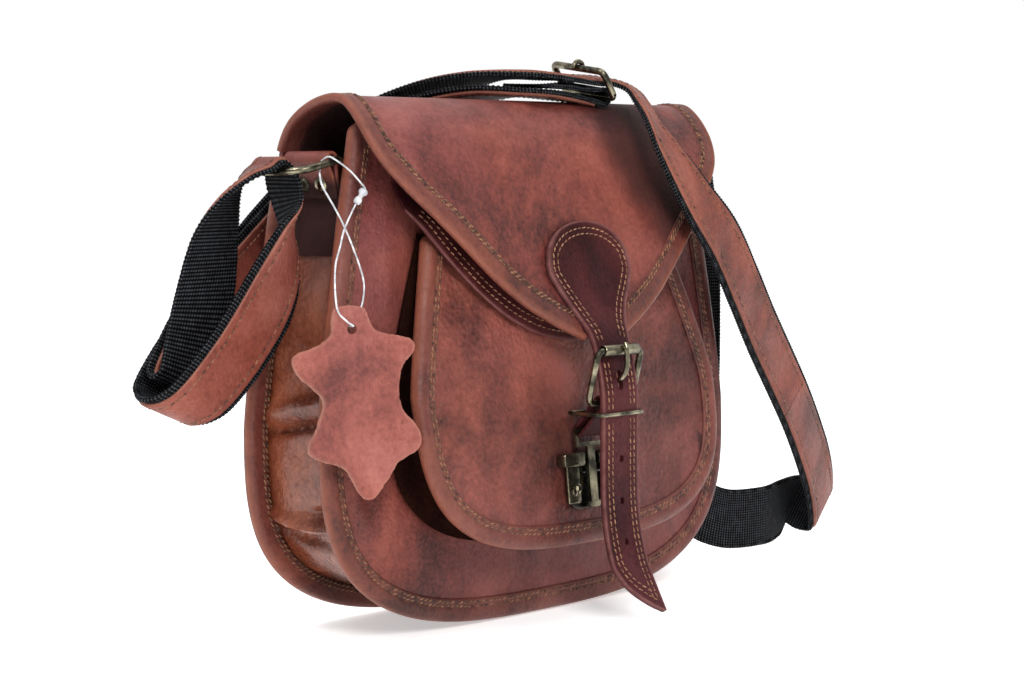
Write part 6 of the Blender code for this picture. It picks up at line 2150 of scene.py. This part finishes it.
    def lap_place(self) -> float:
        """Where the facing's two lengths meet, on the stretch that rises at the right."""
        rising = [i for i, row in enumerate(self.rows) if row[0] > 0.140 and -row[1] > DEPTH / 2]
        return self.at[min(rising, key=lambda i: abs(self.rows[i][2] - 0.0885))]


@dataclass
class HangTag:
    """The hide-shaped tag, bare of words, on its nylon loop."""

    finishes: Finishes
    width: float = 60 * MM
    height: float = 83 * MM
    wall: float = 1.8 * MM
    hole: float = 4.6 * MM
    turn: float = math.radians(17)

    def at(self, a: float, b: float, height: float) -> Vector:
        """A place on the tag, across, up and out from its hole."""
        across = Vector((math.cos(self.turn), -math.sin(self.turn), 0))
        facing = across.cross(Vector((0, 0, 1)))
        return placed(-0.981, 1.180, 0.5850) + across * a + Vector((0, 0, b)) + facing * height

    def curled(self, a: float, b: float) -> Vector:
        """A place on the tag's face."""
        wave = 0.5 * MM * ripple(Vector((a, b, 0)), 40.0, 2.0) * step_up(math.hypot(a, b), 5 * MM, 20 * MM)
        return self.at(a, b, self.wall / 2 + wave)

    def tag(self) -> None:
        """The leather with its fibrous edge, a little curled."""
        outline = closed_curve([(a * self.width, b * self.height) for a, b in TAG_ROWS], 0.5 * MM)
        sheet = [[self.curled(a * MM, b * MM) for a in range(-29, 36)] for b in range(-78, 13)]
        made = grid("tag_hide", sheet)
        thicken(made, self.wall)
        rings = []
        for height in (-6 * MM, -0.4 * MM, 0.4 * MM, 6 * MM):
            ring = []
            for i, (a, b) in enumerate(outline):
                before, after = outline[i - 1], outline[(i + 1) % len(outline)]
                run = Vector((after[0] - before[0], after[1] - before[1], 0)).normalized()
                fibres = 0.30 * MM * ripple(Vector((a, b, height * 0.3)), 900.0, 7.0)
                ragged = fibres + 0.35 * MM * ripple(Vector((a, b, 0)), 260.0, 3.0)
                ring.append(self.at(a - run.y * ragged, b + run.x * ragged, height))
            rings.append(ring)
        carve(made, [loft("tag_shape", rings)], "INTERSECT")
        hub = [self.at(0, 0, d) for d in (-5 * MM, 5 * MM)]
        across = self.at(1, 0, 0) - self.at(0, 0, 0)
        circle = [self.hole / 2 * (across * math.cos(t) + Vector((0, 0, math.sin(t)))) for t in full_turn(28)]
        carve(made, [loft("tag_hole", [[p + spot for spot in circle] for p in hub])])
        shade(made, FIRM)
        mark_rim_wear_and_highlight(made, [self.at(a, b, 0) for a, b in outline + [outline[0]]], 1.3 * MM)
        dress(made, self.finishes.tag, "hang_tag", "hang_tag")

    def loop(self) -> None:
        """The nylon loop and its lumpy lock."""
        knots = [list(placed(*row)) for row in CORD_ROWS]
        path = [Vector(row) for row in smooth(knots, 0.8 * MM)]
        made = wire("tag_cord", path, 0.42 * MM, sides=12)
        top, low = path[0], path[-1]
        middle, along = (top + low) / 2, (top - low).normalized()
        side = along.orthogonal().normalized()
        third = along.cross(side)
        half = (top - low).length / 2 - 0.6 * MM
        lumps = [(-1, 0.35), (-0.85, 0.95), (-0.45, 1.1), (-0.1, 0.7)]
        lumps += [(0.2, 0.75), (0.55, 1.3), (0.85, 1.1), (1, 0.4)]
        circle = [side * math.cos(a) + third * math.sin(a) for a in full_turn(20)]
        rings = []
        for t, wide in smooth(lumps, 0.06):
            rings.append([middle + along * half * t + 1.6 * MM * wide * spot for spot in circle])
        lock = loft("tag_lock_bead", rings)
        shade(lock)
        dress(lock, self.finishes.nylon, "hang_tag", "tag_lock")
        dress(made, self.finishes.nylon, "hang_tag", "tag_loop")
        length = round(lengths_along(path)[-1], 3)

    def build(self) -> None:
        """Make the tag and its loop."""
        self.tag()
        self.loop()


# Each lamp's name, place, size in metres and power in watts
LAMPS = (
    ("key_light", (-1.2, -1.9, 1.5), 0.9, 45.0),
    ("side_light", (-1.3, 0.2, 1.9), 0.5, 14.0),
    ("top_light", (0.3, -0.3, 2.2), 1.6, 14.0),
)


@dataclass
class Studio:
    """Floor, lights and the camera at the photograph's viewing angle."""

    place: tuple[float, float, float] = (-0.8180, -0.7988, 0.2098)
    pitch: float = 4.2
    yaw: float = 47.0
    lens: float = 81.86
    sensor: float = 36.0
    floor_drop: float = 0.6 * MM
    floor_size: float = 8.0
    aim: tuple[float, float, float] = (0.0, -0.05, 0.12)

    def build(self) -> None:
        """Make the camera, the floor, the world and three soft lights."""
        deselect()
        turn = (math.radians(90 - self.pitch), 0.0, math.radians(-self.yaw))
        bpy.ops.object.camera_add(location=self.place, rotation=turn)
        camera = bpy.context.active_object
        camera.data.lens = self.lens
        camera.data.sensor_width = self.sensor
        camera.data.clip_start = 0.01
        bpy.context.scene.camera = camera
        deselect()
        bpy.ops.mesh.primitive_plane_add(size=self.floor_size, location=(0.0, 0.0, -self.floor_drop))
        floor = bpy.context.active_object
        floor.name = "floor"
        glow = {"Emission_Color": (1.0, 1.0, 1.0, 1.0), "Emission_Strength": 0.45}
        floor.data.materials.append(Recipe("floor_paper").done((0.97, 0.97, 0.97), 0.9, **glow))
        world = bpy.data.worlds.new("studio")
        bpy.context.scene.world = world
        world.use_nodes = True
        # The paper behind the bag is lit, and the room on the photographer's side is dimmer.
        nodes, links = world.node_tree.nodes, world.node_tree.links
        kinds = ("TexCoord", "VectorMath", "MapRange")
        where, facing, fade = (nodes.new("ShaderNode" + kind) for kind in kinds)
        facing.operation, fade.interpolation_type = "DOT_PRODUCT", "SMOOTHSTEP"
        facing.inputs[1].default_value = (0.73, 0.68, 0.0)
        for k, value in enumerate((-0.45, 0.35, 0.30, 1.0), 1):
            fade.inputs[k].default_value = value
        links.new(where.outputs["Generated"], facing.inputs[0])
        links.new(facing.outputs["Value"], fade.inputs[0])
        links.new(fade.outputs[0], nodes["Background"].inputs[0])
        for lamp in LAMPS:
            self.light(*lamp)

    def light(self, name: str, place: tuple, size: float, power: float) -> None:
        """One square area light that faces the bag."""
        deselect()
        bpy.ops.object.light_add(type="AREA", location=place)
        lamp = bpy.context.active_object
        lamp.name = name
        lamp.data.size = size
        lamp.data.energy = power
        lamp.rotation_euler = (Vector(self.aim) - Vector(place)).to_track_quat("-Z", "Y").to_euler()


def main() -> None:
    """Build the bag, sub-assembly by sub-assembly."""
    logging.basicConfig(level=logging.INFO, format="%(name)s: %(message)s")
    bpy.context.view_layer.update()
    bpy.context.scene.view_settings.view_transform = "Standard"
    Studio().build()
    finishes = Finishes.make()
    HangTag(finishes).build()
    Body(finishes).build()
    Pocket(finishes).build()
    flap = Flap(finishes)
    flap.build()
    Closure(finishes, flap).build()
    for side in Side:
        SideRing(finishes, side).build()
    ShoulderStrap(finishes).build()


if __name__ == "__main__":
    main()
